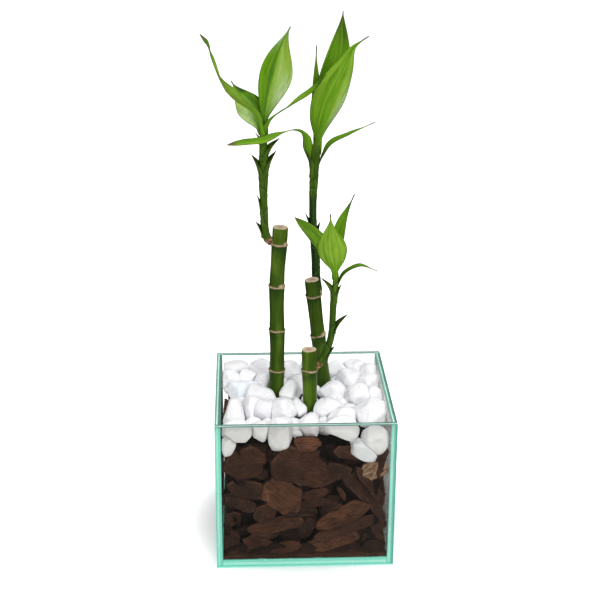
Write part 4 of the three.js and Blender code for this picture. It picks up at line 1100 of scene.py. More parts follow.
# A path is given by its points and the radius there. A bract is given by its height, direction,
# length, lean and width, and a sheath's edge by its height, direction and slant. Dark is how deep
# the green is below and above a height.
SHOOTS = [
    {"name": "shoot_left", "dark": (0.1, -0.3, 262),
     "path": [(-19.5, 11.7, 208.5, 2.4), (-23.2, 11.7, 211.5, 2.8), (-25.0, 11.7, 217, 2.6),
              (-25.5, 11.7, 226, 2.6), (-26.0, 11.7, 240, 2.5), (-26.0, 11.7, 254, 3.1),
              (-26.0, 11.7, 268, 2.9), (-26.1, 11.7, 280, 2.5), (-26.3, 12.2, 290, 1.1)],
     "bracts": [(216, 200, 9, 39, 4.4), (224, 215, 7.5, 14, 4.4), (232, 205, 10, 22, 4.4),
                (256.5, 205, 15, 30, 6), (258.5, -25, 15.5, 30, 6), (269, -30, 16, 42, 6.5),
                (280, 215, 6.5, 52, 4)],
     "sheaths": [(222, 200, 3), (231, 20, 3), (246, 190, 3), (257, 30, 4.5), (266, 200, 3)]},
    {"name": "shoot_rear", "dark": (0.85, -0.15, 235),
     "path": [(12.2, 31.5, 161, 2.2), (12.6, 34.4, 165, 2.8), (11.0, 35.6, 176, 2.9),
              (10.5, 35.4, 190, 3.0), (8.6, 35, 211, 2.6), (8.2, 35, 231, 2.5), (8.6, 35, 243, 2.9),
              (9.0, 35, 256, 3.3), (9.9, 35, 266, 3.2), (10.6, 35, 276, 1.4)],
     "bracts": [(173.5, 200, 8.5, 17, 4.4), (206, -20, 9, 20, 4.4), (211.5, 205, 11, 27, 4.4),
                (251, 215, 15, 21, 6.5)],
     "sheaths": [(180, 20, 3), (196, 200, 3), (214, 20, 3), (236, 250, 4), (247, 20, 3)]},
    {"name": "shoot_front", "dark": (0.25, -0.65, 177),
     "path": [(8.2, -11.3, 126.2, 1.9), (11.4, -11.3, 130.2, 2.4), (15.8, -11.3, 139, 2.4),
              (18.7, -11.3, 149, 2.3), (19.5, -11.3, 160, 2.2), (19.8, -11.3, 172, 2.2),
              (20.8, -11.3, 183, 2.1), (21.3, -11.3, 192, 1.9), (21.4, -11.3, 200, 0.9)],
     "bracts": [(135.5, -20, 8.5, 44, 4.4), (155, -20, 14, 42, 4.8), (175.5, 210, 6, 16, 4),
                (177, -35, 11, 24, 6), (180, 210, 15.5, 38, 6.5)],
     "sheaths": [(141, 200, 2.5), (156, 340, 2.5), (175, 200, 2.0), (186, 330, 2.5)]},
]
SHOOT_COLUMNS = 48
SHOOT_ROWS = 260
BRACT_ROWS = 26
BRACT_STRIPS = 12
BRACT_HALF_THICKNESS = 0.2
NO_EDGE = 9.0
PAST_COLLAR = 60.0
SHOOT_DEEP = (0.036, 0.085, 0.005, 1)
SHOOT_GREEN = (0.085, 0.16, 0.009, 1)
SHOOT_STREAK = (0.13, 0.22, 0.03, 1)
SHOOT_DARK = (0.008, 0.03, 0.006, 1)
SHOOT_DARK_STREAK = (0.022, 0.07, 0.012, 1)
SHOOT_FRESH = (0.09, 0.2, 0.008, 1)
SHOOT_FRESH_STREAK = (0.16, 0.32, 0.014, 1)
SHEATH_SHADE = (0.01, 0.04, 0.005, 1)
SHEATH_EDGE = (0.24, 0.36, 0.1, 1)
COLLAR_BROWN = (0.1, 0.045, 0.018, 1)
COLLAR_TAN = (0.46, 0.33, 0.17, 1)
BRACT_TIP = (0.03, 0.028, 0.014, 1)


def blade_faces(stations, strips, first=0):
    """Quads of both faces of a blade and of the narrow rim that joins them."""
    rows, columns = stations + 1, strips + 1
    size = rows * columns
    upper = grid_faces(rows, columns, False, first)[:, ::-1]
    under = grid_faces(rows, columns, False, first + size)
    i, j = np.arange(stations), np.arange(strips)
    left = first + i * columns
    right = left + strips
    start = first + j
    end = first + stations * columns + j
    rim = np.concatenate([
        np.c_[left, left + columns, left + columns + size, left + size],
        np.c_[right + columns, right, right + size, right + size + columns],
        np.c_[start + 1, start, start + size, start + size + 1],
        np.c_[end, end + 1, end + size + 1, end + size],
    ])
    return np.concatenate([upper, under, rim[:, ::-1]]).tolist()


def bract_surface(shoot, bract):
    """A dry scale: a strip of a tube a little wider than the stem, which clasps it at the foot, leans
    outwards as u^1.9 and narrows to a point as (1-u^2.2)^0.9. It twists: its far edge stands
    higher than its near one. Also gives u and v from 0 to 1."""
    height, azimuth, length, lean, width = bract
    path = np.array(shoot["path"])
    points, _, _ = curve_frame(path[:, :3])
    foot = picked(points, points[:, 2], np.array([height]))[0]
    hold = np.interp(height, path[:, 2], path[:, 3]) + 0.3
    u, v = np.meshgrid(np.linspace(0, 1, BRACT_ROWS + 1), np.linspace(-1, 1, BRACT_STRIPS + 1),
                       indexing="ij")
    slope = np.radians(lean)
    narrow = (1 - u ** 2.2) ** 0.9 * (1 + 0.25 * np.sin(np.pi * u)) + 0.03
    turn = -v * 0.22 * width * narrow
    out = (length * np.sin(slope) - hold + 1.2) * u ** 1.9 + hold * np.cos(turn)
    aside = hold * np.sin(turn)
    up = (length * np.cos(slope) + 4.5) * u - 3.0 - 0.8 * np.abs(v) * (1 - u)
    s, c = np.sin(np.radians(azimuth)), np.cos(np.radians(azimuth))
    point = np.stack([out * c - aside * s, out * s + aside * c, up], -1) + foot
    middle = point[:, BRACT_STRIPS // 2]
    way = np.gradient(middle, axis=0)
    way /= np.linalg.norm(way, axis=1, keepdims=True)
    raised = np.cross(np.array([0.0, 1.0, 0.0]), way) * np.sign(c)
    raised *= -np.sign(raised[:, 2:3] + 1e-9)
    deep = (point - middle[:, None])[..., 1:2]
    point = point - raised[:, None] * deep * 0.7 * np.clip(u / 0.35, 0, 1)[..., None]
    normal = np.cross(np.gradient(point, axis=0), np.gradient(point, axis=1))
    normal /= np.maximum(np.linalg.norm(normal, axis=2, keepdims=True), 1e-9)
    skin = normal * BRACT_HALF_THICKNESS * np.clip((1 - np.abs(v)) * 4 + 0.3, 0, 1)[..., None]
    return point + skin, point - skin, np.stack([u, v * 0.5 + 0.5], -1)


def shoot_surface(shoot):
    """The stem: rings along its path whose radius steps in above the slanted edge of each sheath, and
    swells twice at the collar. Values: how far a point is above a sheath's edge, how far along the
    stem, how deep its green is, and how near a dry tip, which a stem hasn't."""
    path = np.array(shoot["path"])
    points, way, length = curve_frame(path[:, :3])
    share = np.linspace(0, 1, SHOOT_ROWS)
    t = np.interp(share, length, np.linspace(0, 1, len(points)))
    radius = np.interp(t * (len(path) - 1), np.arange(len(path)), path[:, 3])
    centre = picked(points, length, share)
    direction = picked(way, length, share)
    direction /= np.linalg.norm(direction, axis=1, keepdims=True)
    angle = np.linspace(0, 2 * np.pi, SHOOT_COLUMNS, endpoint=False)
    z = centre[:, 2:3] + 0 * angle
    wide = radius[:, None] + 0 * angle
    edge = np.full_like(z, NO_EDGE)
    for height, azimuth, slant in shoot["sheaths"]:
        off = z - height - slant * np.cos(angle - np.radians(azimuth))
        wide += np.where(off < 0, 0.2 * np.exp(off / 6), -0.05 * np.exp(-off / 3))
        edge = np.where(np.abs(off) < np.abs(edge), off, edge)
    run = share[:, None] * np.linalg.norm(np.diff(centre, axis=0), axis=1).sum()
    wide += 0.22 * np.exp(-((run - 2.5) / 1.0) ** 2) + 0.16 * np.exp(-((run - 5.0) / 0.8) ** 2)
    rings = round_stem(centre, direction, wide, SHOOT_COLUMNS)
    all_points = np.concatenate([rings.reshape(-1, 3), [centre[-1]], [centre[0]]])
    low, high, turn = shoot["dark"]
    deep = low + (high - low) / (1 + np.exp(-(all_points[:, 2] - turn) / 1.2))
    return all_points, {
        "edge": np.r_[edge.ravel(), NO_EDGE, NO_EDGE],
        "run": np.r_[np.broadcast_to(run, z.shape).ravel(), PAST_COLLAR, 0],
        "dark": deep,
        "tip": np.zeros(len(all_points)),
    }


def shoot_look(tree):
    """Green sheaths with fine lines, a pale dry edge and a shade above it, deeper or fresher green
    along the stem, a mottled brown collar at the cane, and scales that darken to brown tips."""
    place = wire(tree, "ShaderNodeTexCoord").outputs["Object"]
    fine, broad = streaks(tree, place, (1.0, 1.0, 0.07), 1100.0)
    edge = wire(tree, "ShaderNodeAttribute", attribute_name="edge").outputs["Fac"]
    run = wire(tree, "ShaderNodeAttribute", attribute_name="run").outputs["Fac"]
    dark = wire(tree, "ShaderNodeAttribute", attribute_name="dark").outputs["Fac"]
    tip = wire(tree, "ShaderNodeAttribute", attribute_name="tip").outputs["Fac"]
    grit = wire(tree, "ShaderNodeTexNoise", {"Vector": place, "Scale": 700.0, "Detail": 4.0}).outputs[0]
    colour = blend_colours(tree, steps(tree, broad, 0.35, 0.65), SHOOT_DEEP, SHOOT_GREEN)
    colour = blend_colours(tree, steps(tree, fine, 0.5, 0.72, 0.0, 0.4), colour, SHOOT_STREAK)
    deep = blend_colours(tree, steps(tree, fine, 0.4, 0.7), SHOOT_DARK, SHOOT_DARK_STREAK)
    colour = blend_colours(tree, dark, colour, deep)
    fresh = blend_colours(tree, steps(tree, fine, 0.4, 0.65), SHOOT_FRESH, SHOOT_FRESH_STREAK)
    colour = blend_colours(tree, steps(tree, dark, -1.0, 0.0, 1.0, 0.0), colour, fresh)
    fading = steps(tree, edge, 0.0, 3.5, 0.5, 0.0)
    above = steps(tree, edge, -0.15, 0.0, 0.0, 1.0)
    colour = blend_colours(tree, maths(tree, "MULTIPLY", fading, above), colour, SHEATH_SHADE)
    from_edge = maths(tree, "ABSOLUTE", maths(tree, "ADD", edge, 0.2))
    colour = blend_colours(tree, steps(tree, from_edge, 0.08, 0.3, 0.35, 0.0), colour, SHEATH_EDGE)
    tan = blend_colours(tree, steps(tree, grit, 0.38, 0.62), COLLAR_BROWN, COLLAR_TAN)
    frayed = maths(tree, "ADD", run, maths(tree, "MULTIPLY", grit, 3.0))
    collar = steps(tree, frayed, 6.2, 8.2, 1.0, 0.0)
    colour = blend_colours(tree, collar, colour, tan)
    colour = blend_colours(tree, tip, colour, BRACT_TIP)
    height = maths(tree, "ADD", fine, maths(tree, "MULTIPLY", collar, grit))
    bump = wire(tree, "ShaderNodeBump", {"Strength": 0.3, "Distance": 0.0002, "Height": height})
    return {
        "Base Color": colour,
        "Roughness": blend_values(tree, collar, steps(tree, broad, 0.3, 0.7, 0.35, 0.5), 0.85),
        "Normal": bump.outputs[0],
        "Specular IOR Level": 0.16,
    }


SHOOT_SKIN = finish_material("shoot_skin", shoot_look)


def shoot_piece(shoot):
    """The stem and its scales in one piece."""
    stem, values = shoot_surface(shoot)
    points = [stem]
    faces = stem_faces(SHOOT_ROWS, SHOOT_COLUMNS)
    extra = {key: [numbers] for key, numbers in values.items()}
    low, high, turn = shoot["dark"]
    for bract in shoot["bracts"]:
        upper, under, place = bract_surface(shoot, bract)
        both = np.concatenate([upper.reshape(-1, 3), under.reshape(-1, 3)])
        faces += blade_faces(BRACT_ROWS, BRACT_STRIPS, sum(len(each) for each in points))
        points.append(both)
        u, near = np.tile(place.reshape(-1, 2), (2, 1)).T
        deep = low if bract[0] < turn else high
        near = near if np.cos(np.radians(bract[1])) < 0 else 1 - near
        extra["edge"].append(np.full(len(both), NO_EDGE))
        extra["run"].append(np.full(len(both), PAST_COLLAR))
        extra["dark"].append(np.clip(deep + 0.5 * near + 0.2 * u - 0.1, 0, 1))
        extra["tip"].append(np.clip((u - 0.72) / 0.28, 0, 0.9))
    mesh_piece(shoot["name"] + "_sheathed", np.concatenate(points), faces, [SHOOT_SKIN],
               [shoot["name"]], values={key: np.concatenate(each) for key, each in extra.items()})


for shoot in SHOOTS:
    shoot_piece(shoot)

# The leaves: thin glossy blades, folded along the midrib, with parallel veins, a fine dark edge and
# a dry brown tip on some. Each wraps the shoot at its foot and stands free above it.

# Share is the part of the width on the second side of the midrib. Fold, facing and roll are in
# degrees, roll at even steps from foot to tip. Tone runs from pale 0 to deep 1, on the first and
# the second side, where it is partly the leaf's own green and partly painted light and shade on the
# two halves of the fold; foot and end deepen it towards the foot and the tip, and a band, given by
# its place, spread and change, runs beside the midrib. Sheen is a pale painted reflection, a spot
# given by its place along and across, its spread along and across, and how strong it is.
LEAVES = [
    {"name": "leaf_left_upright",
     "spine": [(-26.0, 13, 281), (-24.2, 17, 302), (-19.8, 20, 322.7), (-14.8, 21, 338),
               (-8.1, 19, 352.4)],
     "width": 23, "share": 0.4, "widest": 0.55, "rise": 2.4, "fold": 24, "facing": 90,
     "roll": (0, 6, 0), "neck": 7.5, "tone": (0.08, 0.58), "foot": (0.8, 1.2), "tip": 0.0,
     "bands": [(0.05, 0.12, 0.35), (0.75, 0.2, -0.15)],
     "painted_sheen": [(0.42, -0.75, 0.16, 0.35, 0.7), (0.6, -0.35, 0.2, 0.12, 0.3),
               (0.88, 0.7, 0.1, 0.5, 0.4)]},
    {"name": "leaf_left_broad",
     "spine": [(-27.5, 12.5, 283), (-33, 17, 296), (-39.3, 20, 305.8), (-43.4, 23, 311.2),
               (-46.7, 25, 316)],
     "width": 19, "share": 0.5, "widest": 0.46, "fold": 14, "facing": 105, "roll": (0, 0, 0),
     "neck": 6, "tone": (0.7, 0.1), "foot": (0.6, 0.3), "tip": 0.3, "end": 0.7,
     "painted_sheen": [(0.35, 0.6, 0.24, 0.45, 0.6)]},
    {"name": "leaf_left_right",
     "spine": [(-25.2, 11, 282), (-20.8, 10.8, 293.5), (-7.4, 10, 303.4), (4.7, 9, 312),
               (14.2, 8, 323.5)],
     "width": 6.5, "share": 0.5, "widest": 0.66, "rise": 2.6, "fold": 22, "facing": 0,
     "roll": (-55, -25, 0, 25, 50), "neck": 9, "tone": (0.45, 0.35), "foot": (0.6, 0.6),
     "tip": 0.2, "end": 0.5},
    {"name": "leaf_left_long",
     "spine": [(-27.0, 10.5, 281), (-30.2, 8.5, 296), (-44, 3, 309), (-53.2, 0, 321.3),
               (-58.8, -3, 338.2), (-60.8, -4, 345.3), (-65.4, -5, 351.6)],
     "width": 11, "share": 0.5, "widest": 0.42, "rise": 1.5, "fold": 20, "facing": 230,
     "roll": (0, 0, -130), "neck": 6, "tone": (0.1, 0.24), "foot": (0.4, 0.3), "tip": 0.5, "end": 0.5,
     "waists": [(0.85, 0.025, 0.4), (0.93, 0.04, -2.2)]},
    {"name": "leaf_rear_back",
     "spine": [(9.9, 36.5, 266), (14.5, 41, 292.4), (24, 46, 324), (26.8, 48, 343.5),
               (27.8, 49, 357.3)],
     "width": 19, "share": 0.5, "widest": 0.55, "fold": 16, "facing": 90, "roll": (0, 0, 0),
     "neck": 7, "tone": (0.55, 0.5), "foot": (0.7, 0.7), "tip": 0.3, "end": 0.35},
    {"name": "leaf_rear_front",
     "spine": [(10.6, 34, 263), (12.8, 31, 288.2), (19.6, 29, 307.5), (27.2, 27, 323.7),
               (32.8, 26, 336.7), (37.8, 25, 341.4), (43, 24, 345.1)],
     "width": 22.4, "share": 0.52, "widest": 0.46, "rise": 1.9, "fold": 18, "facing": 270,
     "roll": (0, 0, 0), "neck": 8.5, "tone": (0.45, 0.42), "foot": (0.85, 0.75), "tip": 1.0,
     "bands": [(-0.75, 0.3, -0.2), (0.6, 0.2, -0.3)], "painted_sheen": [(0.4, 0.85, 0.16, 0.22, 0.5)]},
    {"name": "leaf_rear_thin",
     "spine": [(8.8, 37, 266), (9.3, 41.5, 299.5), (9.7, 43, 320.6), (10.2, 44, 335.7)],
     "width": 8, "share": 0.5, "widest": 0.46, "fold": 20, "facing": 120, "roll": (0, 0, 0),
     "neck": 5, "tone": (0.5, 0.6), "foot": (0.7, 0.7), "tip": 0.5},
    {"name": "leaf_rear_left",
     "spine": [(7.2, 34.5, 254), (4.9, 34, 267), (3.8, 32.5, 274.5), (0.3, 29, 280.5),
               (-6.0, 23, 283.4), (-14.2, 15, 283.3), (-27.2, 1, 281.9), (-38.6, -6, 282.6),
               (-49.5, -12, 282.7)],
     "width": 6.4, "share": 0.5, "widest": 0.71, "rise": 1.9, "fold": 16, "facing": 225,
     "roll": (0, 60, 25, -10, -35, -60), "neck": 9, "tone": (0.55, 0.3), "foot": (0.6, 0.6),
     "tip": 0.8, "waists": [(0.2, 0.1, -0.5), (0.44, 0.09, 0.5)]},
    {"name": "leaf_rear_right",
     "spine": [(10.4, 35, 251), (13.9, 34.5, 261), (20.2, 33, 271.6), (31.3, 31, 278.3),
               (37.6, 30, 281.6), (49.1, 28, 287.4)],
     "width": 8, "share": 0.5, "widest": 0.42, "fold": 16, "facing": 0, "roll": (0, 10, 10),
     "neck": 6, "tone": (0.6, 0.5), "foot": (0.8, 0.8), "tip": 1.0},
    {"name": "leaf_front_right",
     "spine": [(21.6, -10, 192), (22.7, -7, 213.2), (25, -5, 226.8), (33.4, -2, 246.8)],
     "width": 9, "share": 0.5, "widest": 0.47, "fold": 16, "facing": 60, "roll": (0, 0, 0),
     "neck": 5, "tone": (0.48, 0.4), "foot": (0.6, 0.6), "tip": 0.6, "end": 0.5},
    {"name": "leaf_front_left",
     "spine": [(20.6, -12, 192), (15.2, -14, 208), (5.6, -17, 223), (-6.7, -20, 237)],
     "width": 12.6, "share": 0.5, "widest": 0.62, "fold": 16, "facing": 250, "roll": (0, 0, 0),
     "neck": 5, "tone": (0.42, 0.68), "foot": (0.4, 0.4), "tip": 0.7},
    {"name": "leaf_front_broad",
     "spine": [(21.2, -12.5, 190), (19.8, -16, 205.9), (17.4, -19, 220.8), (16.3, -22, 239.7)],
     "width": 20, "share": 0.48, "widest": 0.46, "rise": 2.1, "fold": 14, "facing": 270,
     "roll": (0, 0, 0), "neck": 7, "tone": (0.24, 0.2), "foot": (0.5, 0.5), "tip": 0.7,
     "bands": [(-0.35, 0.06, 0.1), (0.02, 0.05, 0.12), (0.4, 0.06, 0.1), (0.95, 0.12, 0.4)]},
    {"name": "leaf_front_low",
     "spine": [(20.6, -11.4, 179), (22.9, -11.5, 186.5), (27.2, -12, 195), (36.9, -14, 200.8),
               (48.3, -17, 198.3)],
     "width": 7, "share": 0.5, "widest": 0.5, "fold": 20, "facing": 0, "roll": (0, 0, 0),
     "neck": 4.5, "tone": (0.85, 0.72), "foot": (0.8, 0.8), "tip": 0.8},
]
LEAF_STATIONS = 120
LEAF_STRIPS = 28
LEAF_THICKNESS = 0.42
NECK_FOLD = 48
RIPPLE = 0.35
LEAF_YELLOW_GREEN = (0.31, 0.5, 0.05, 1)
LEAF_GREEN = (0.132, 0.315, 0.006, 1)
LEAF_DEEP = (0.022, 0.075, 0.003, 1)
VEIN_PALE = (0.34, 0.55, 0.05, 1)
VEIN_DEEP = (0.03, 0.12, 0.004, 1)
# pale painted reflection on the leaves
LEAF_PAINTED_SHEEN = (0.66, 0.78, 0.5, 1)
LEAF_EDGE = (0.04, 0.1, 0.008, 1)
LEAF_DRY = (0.11, 0.062, 0.03, 1)


def blade_surface(leaf, seed):
    """A folded blade on a grid of u along its spine and v across it, on both faces. Half width is
    w(u) = (u/m)^a ((1-u)/(1-m))^(a(1-m)/m) of the full width, m where it is widest and a its rise,
    never less than its neck or tip. The point is spine + side v w cos(f) + inward |v|^1.4 w sin(f),
    f the fold, which grows towards the neck. The edges ripple, the halves sag a little between
    midrib and edge, and at each waist the blade is narrower. Also gives u and v from 0 to 1, and
    the distance from the midrib."""
    points, way, length = curve_frame(leaf["spine"])
    u = np.linspace(0, 1, LEAF_STATIONS + 1)
    v = np.linspace(-1, 1, LEAF_STRIPS + 1)
    centre = picked(points, length, u)
    tangent = picked(way, length, u)
    tangent /= np.linalg.norm(tangent, axis=1, keepdims=True)
    facing = np.radians(leaf["facing"])
    level = np.array([-np.sin(facing), np.cos(facing), 0])
    side = level - tangent * (tangent @ level)[:, None]
    side /= np.linalg.norm(side, axis=1, keepdims=True)
    roll = leaf["roll"]
    turn = np.radians(np.interp(u, np.linspace(0, 1, len(roll)), roll))[:, None]
    side = side * np.cos(turn) + np.cross(tangent, side) * np.sin(turn)
    inward = np.cross(tangent, side)
    width, widest, rise = leaf["width"], leaf["widest"], leaf.get("rise", 1.8)
    fall = rise * (1 - widest) / widest
    body = (u / widest) ** rise * ((1 - u) / (1 - widest)) ** fall
    least = 0.85 * np.sqrt(np.clip((1 - u) / 0.02, 0.1, 1))
    full = np.maximum(np.maximum(width * body, leaf["neck"] * (1 - 2.5 * u)), least)
    for at, spread, amount in leaf.get("waists", ()):
        full = full * (1 - amount * np.exp(-((u - at) / spread) ** 2))
    wrap = np.maximum(0, 1 - u / 0.25)
    f = np.radians(leaf["fold"] + (NECK_FOLD - leaf["fold"]) * wrap)[:, None]
    w = full[:, None] * np.where(v < 0, 1 - leaf["share"], leaf["share"])
    sway = np.sin(u[:, None] * 2 * np.pi * 2.3 + seed + (v > 0) * 1.9)
    ripple = RIPPLE * sway * np.abs(v) ** 3 * np.clip(full / width, 0, 1)[:, None]
    sag = -0.06 * w * np.sin(np.pi * np.abs(v))
    across = v * w * np.cos(f)
    deep = np.abs(v) ** 1.4 * w * np.sin(f) + ripple + sag
    point = centre[:, None] + side[:, None] * across[..., None] + inward[:, None] * deep[..., None]
    normal = np.cross(np.gradient(point, axis=0), np.gradient(point, axis=1))
    normal /= np.maximum(np.linalg.norm(normal, axis=2, keepdims=True), 1e-9)
    taper = np.clip((1 - np.abs(v)) * 6 + 0.35, 0, 1)[None, :, None]
    skin = normal * LEAF_THICKNESS / 2 * taper
    place = np.stack(np.broadcast_arrays(u[:, None], (v * 0.5 + 0.5)[None]), -1)
    return point + skin, point - skin, place, w * v


def leaf_look(tree):
    """Glossy green from pale yellow-green to deep, with parallel veins, broader light bands, a painted
    sheen, that is a pale painted reflection, in places, a darker edge and a dry brown tip."""
    lie = wire(tree, "ShaderNodeUVMap", uv_map="surface").outputs[0]
    place = wire(tree, "ShaderNodeTexCoord").outputs["Object"]
    tone = wire(tree, "ShaderNodeAttribute", attribute_name="tone").outputs["Fac"]
    tip = wire(tree, "ShaderNodeAttribute", attribute_name="tip").outputs["Fac"]
    margin = wire(tree, "ShaderNodeAttribute", attribute_name="margin").outputs["Fac"]
    middle = wire(tree, "ShaderNodeAttribute", attribute_name="middle").outputs["Fac"]
    painted_sheen = wire(tree, "ShaderNodeAttribute", attribute_name="painted_sheen").outputs["Fac"]
    fine, broad = streaks(tree, lie, (0.035, 1.0, 1.0), 46.0)
    clouds = wire(tree, "ShaderNodeTexNoise", {"Vector": place, "Scale": 70.0, "Detail": 2.0}).outputs[0]
    light = blend_colours(tree, steps(tree, tone, 0.0, 0.5), LEAF_YELLOW_GREEN, LEAF_GREEN)
    green = blend_colours(tree, steps(tree, tone, 0.45, 1.0), light, LEAF_DEEP)
    paler = blend_colours(tree, 0.5, green, VEIN_PALE)
    deeper = blend_colours(tree, 0.6, green, VEIN_DEEP)
    green = blend_colours(tree, steps(tree, broad, 0.5, 0.66, 0.0, 0.75), green, paler)
    green = blend_colours(tree, steps(tree, broad, 0.34, 0.48, 0.7, 0.0), green, deeper)
    green = blend_colours(tree, steps(tree, fine, 0.52, 0.68, 0.0, 0.5), green, paler)
    green = blend_colours(tree, steps(tree, fine, 0.32, 0.46, 0.5, 0.0), green, deeper)
    green = blend_colours(tree, steps(tree, clouds, 0.45, 0.7, 0.0, 0.25), green, deeper)
    green = blend_colours(tree, steps(tree, middle, 0.0, 0.5, 0.4, 0.0), green, deeper)
    # painted sheen: a pale painted reflection, broken by the veins
    painted_sheen_share = maths(tree, "MULTIPLY", painted_sheen, steps(tree, fine, 0.36, 0.6, 0.3, 1.05))
    green = blend_colours(tree, painted_sheen_share, green, LEAF_PAINTED_SHEEN)
    green = blend_colours(tree, steps(tree, margin, 0.15, 0.6, 0.55, 0.0), green, LEAF_EDGE)
    colour = blend_colours(tree, tip, green, LEAF_DRY)
    bump = wire(tree, "ShaderNodeBump", {"Strength": 0.35, "Distance": 0.00025, "Height": fine})
    return {
        "Base Color": colour,
        "Roughness": steps(tree, fine, 0.3, 0.7, 0.3, 0.44),
        "Normal": bump.outputs[0],
        "Specular IOR Level": 0.12,
    }


LEAF_SKIN = finish_material("leaf_skin", leaf_look)


def leaf_piece(leaf, seed):
    """A leaf with its tone, which differs on the two sides of the midrib, partly as painted light and
    shade, in lengthwise bands and towards the foot and the tip, its painted sheen, a pale painted
    reflection, its dry tip, and how far each point is from margin and midrib."""
    upper, under, place, across = blade_surface(leaf, seed)
    u, v = place[..., 0], place[..., 1] * 2 - 1
    # the two halves of the fold take different tones, partly as painted light and shade
    turn = 0.5 + 0.5 * np.tanh(v * 5)
    tone = leaf["tone"][0] * (1 - turn) + leaf["tone"][1] * turn
    for middle, spread, change in leaf.get("bands", ()):
        tone = tone + change * np.exp(-((v - middle) / spread) ** 2)
    foot = leaf["foot"][0] * (1 - turn) + leaf["foot"][1] * turn
    foot = foot * np.clip(1 - u / 0.42, 0, 1) ** 1.3
    tone = tone + leaf.get("end", 0.0) * np.clip((u - 0.7) / 0.2, 0, 1)
    tone = np.clip(tone + (1 - tone) * foot, 0, 1)
    # painted sheen: pale painted reflections
    painted_sheen = np.zeros_like(u)
    for at_u, at_v, spread_u, spread_v, amount in leaf.get("painted_sheen", ()):
        away = ((u - at_u) / spread_u) ** 2 + ((v - at_v) / spread_v) ** 2
        painted_sheen = np.maximum(painted_sheen, amount * np.exp(-away))
    dry = leaf["tip"] * np.clip((u - 0.9) / 0.07, 0, 1)
    margin = np.abs(across).max(1, keepdims=True) - np.abs(across)
    points = np.concatenate([upper.reshape(-1, 3), under.reshape(-1, 3)])
    uv = np.tile(np.stack([u * 6 + seed, place[..., 1]], -1).reshape(-1, 2), (2, 1))
    values = {"tone": tone, "tip": dry, "margin": margin, "middle": np.abs(across), "painted_sheen": painted_sheen}
    mesh_piece(leaf["name"] + "_veined", points, blade_faces(LEAF_STATIONS, LEAF_STRIPS), [LEAF_SKIN],
               [leaf["name"]], uv=uv,
               values={key: np.tile(grid.ravel(), 2) for key, grid in values.items()})


for number, leaf in enumerate(LEAVES):
    leaf_piece(leaf, number * 1.7)

# The stage: a plain white table top with a faint sheen, soft white light from all round and from
# three large lamps, and the camera at the photograph's place and angle. The table's reach and drop
# and the lamps' places and sizes are in metres.
TABLE_REACH = 6.0
TABLE_DROP = 0.00005
GLOW_REACH = 3.5
GLOW_SHARE = 0.7
BEHIND_GLASS = 1.45
TABLE_WHITE = (0.8, 0.8, 0.8, 1)
TABLE_WHITE_CLOUD = (0.82, 0.82, 0.82, 1)
# painted aqua reflection of the cut edges on the table near the pot
TABLE_PAINTED_AQUA = (0.5, 0.7, 0.65, 1)
TABLE_MIRRORED = (0.04, 0.04, 0.04, 1)
PURE_WHITE = (1, 1, 1, 1)
# glow of the painted aqua reflection near the pot
GLOW_PAINTED_AQUA = (0.6, 0.85, 0.78, 1)
CAMERA_AT = (-40.9, -817.56, 493.14)
CAMERA_TURN = 0.047667
CAMERA_DOWN = 0.374237
CAMERA_ROLL = 0.0063688
CAMERA_LENS = 78.0
CAMERA_SENSOR = 36.0


def mirrored(tree):
    """1 for what shows as a reflection in glass or in a gloss, else 0."""
    return maths(tree, "MINIMUM", wire(tree, "ShaderNodeLightPath").outputs["Glossy Depth"], 1)


def seen_directly(tree):
    """1 for what is seen straight, a little more for what is seen through the glass, so that white
    stays white there, and 0 for reflections and for what gives light."""
    rays = wire(tree, "ShaderNodeLightPath").outputs
    behind = maths(tree, "MULTIPLY", rays["Is Transmission Ray"], BEHIND_GLASS)
    straight = maths(tree, "MAXIMUM", rays["Is Camera Ray"], behind)
    return maths(tree, "MULTIPLY", straight, maths(tree, "SUBTRACT", 1, mirrored(tree)))


def table_look(tree):
    """White with faint clouds, lit from itself enough to stay white far away. Close to the pot it has a
    painted aqua reflection of the cut edges, in its colour and its glow, as exp(-gap / reach)."""
    place = wire(tree, "ShaderNodeTexCoord").outputs["Object"]
    clouds = wire(tree, "ShaderNodeTexNoise", {"Vector": place, "Scale": 3.0}).outputs[0]
    x, y = wire(tree, "ShaderNodeSeparateXYZ", {0: place}).outputs[:2]
    off = maths(tree, "MAXIMUM", maths(tree, "ABSOLUTE", x), maths(tree, "ABSOLUTE", y))
    gap = maths(tree, "MAXIMUM", maths(tree, "SUBTRACT", off, HALF * MM), 0.0)
    # share of the painted aqua reflection, fading away from the pot
    painted_aqua_share = maths(tree, "EXPONENT", maths(tree, "MULTIPLY", gap, -1 / (GLOW_REACH * MM)))
    painted_aqua_share = maths(tree, "MULTIPLY", painted_aqua_share, GLOW_SHARE)
    far = wire(tree, "ShaderNodeVectorMath", {0: place}, operation="LENGTH").outputs["Value"]
    white = blend_colours(tree, clouds, TABLE_WHITE, TABLE_WHITE_CLOUD)
    white = blend_colours(tree, painted_aqua_share, white, TABLE_PAINTED_AQUA)
    return {
        "Base Color": blend_colours(tree, mirrored(tree), white, TABLE_MIRRORED),
        "Roughness": 0.2,
        "Emission Color": blend_colours(tree, painted_aqua_share, PURE_WHITE, GLOW_PAINTED_AQUA),
        "Emission Strength": maths(tree, "MULTIPLY", seen_directly(tree),
                                   steps(tree, far, 0.058, 0.105, 0.3, 0.95)),
        "IOR": 1.35,
    }


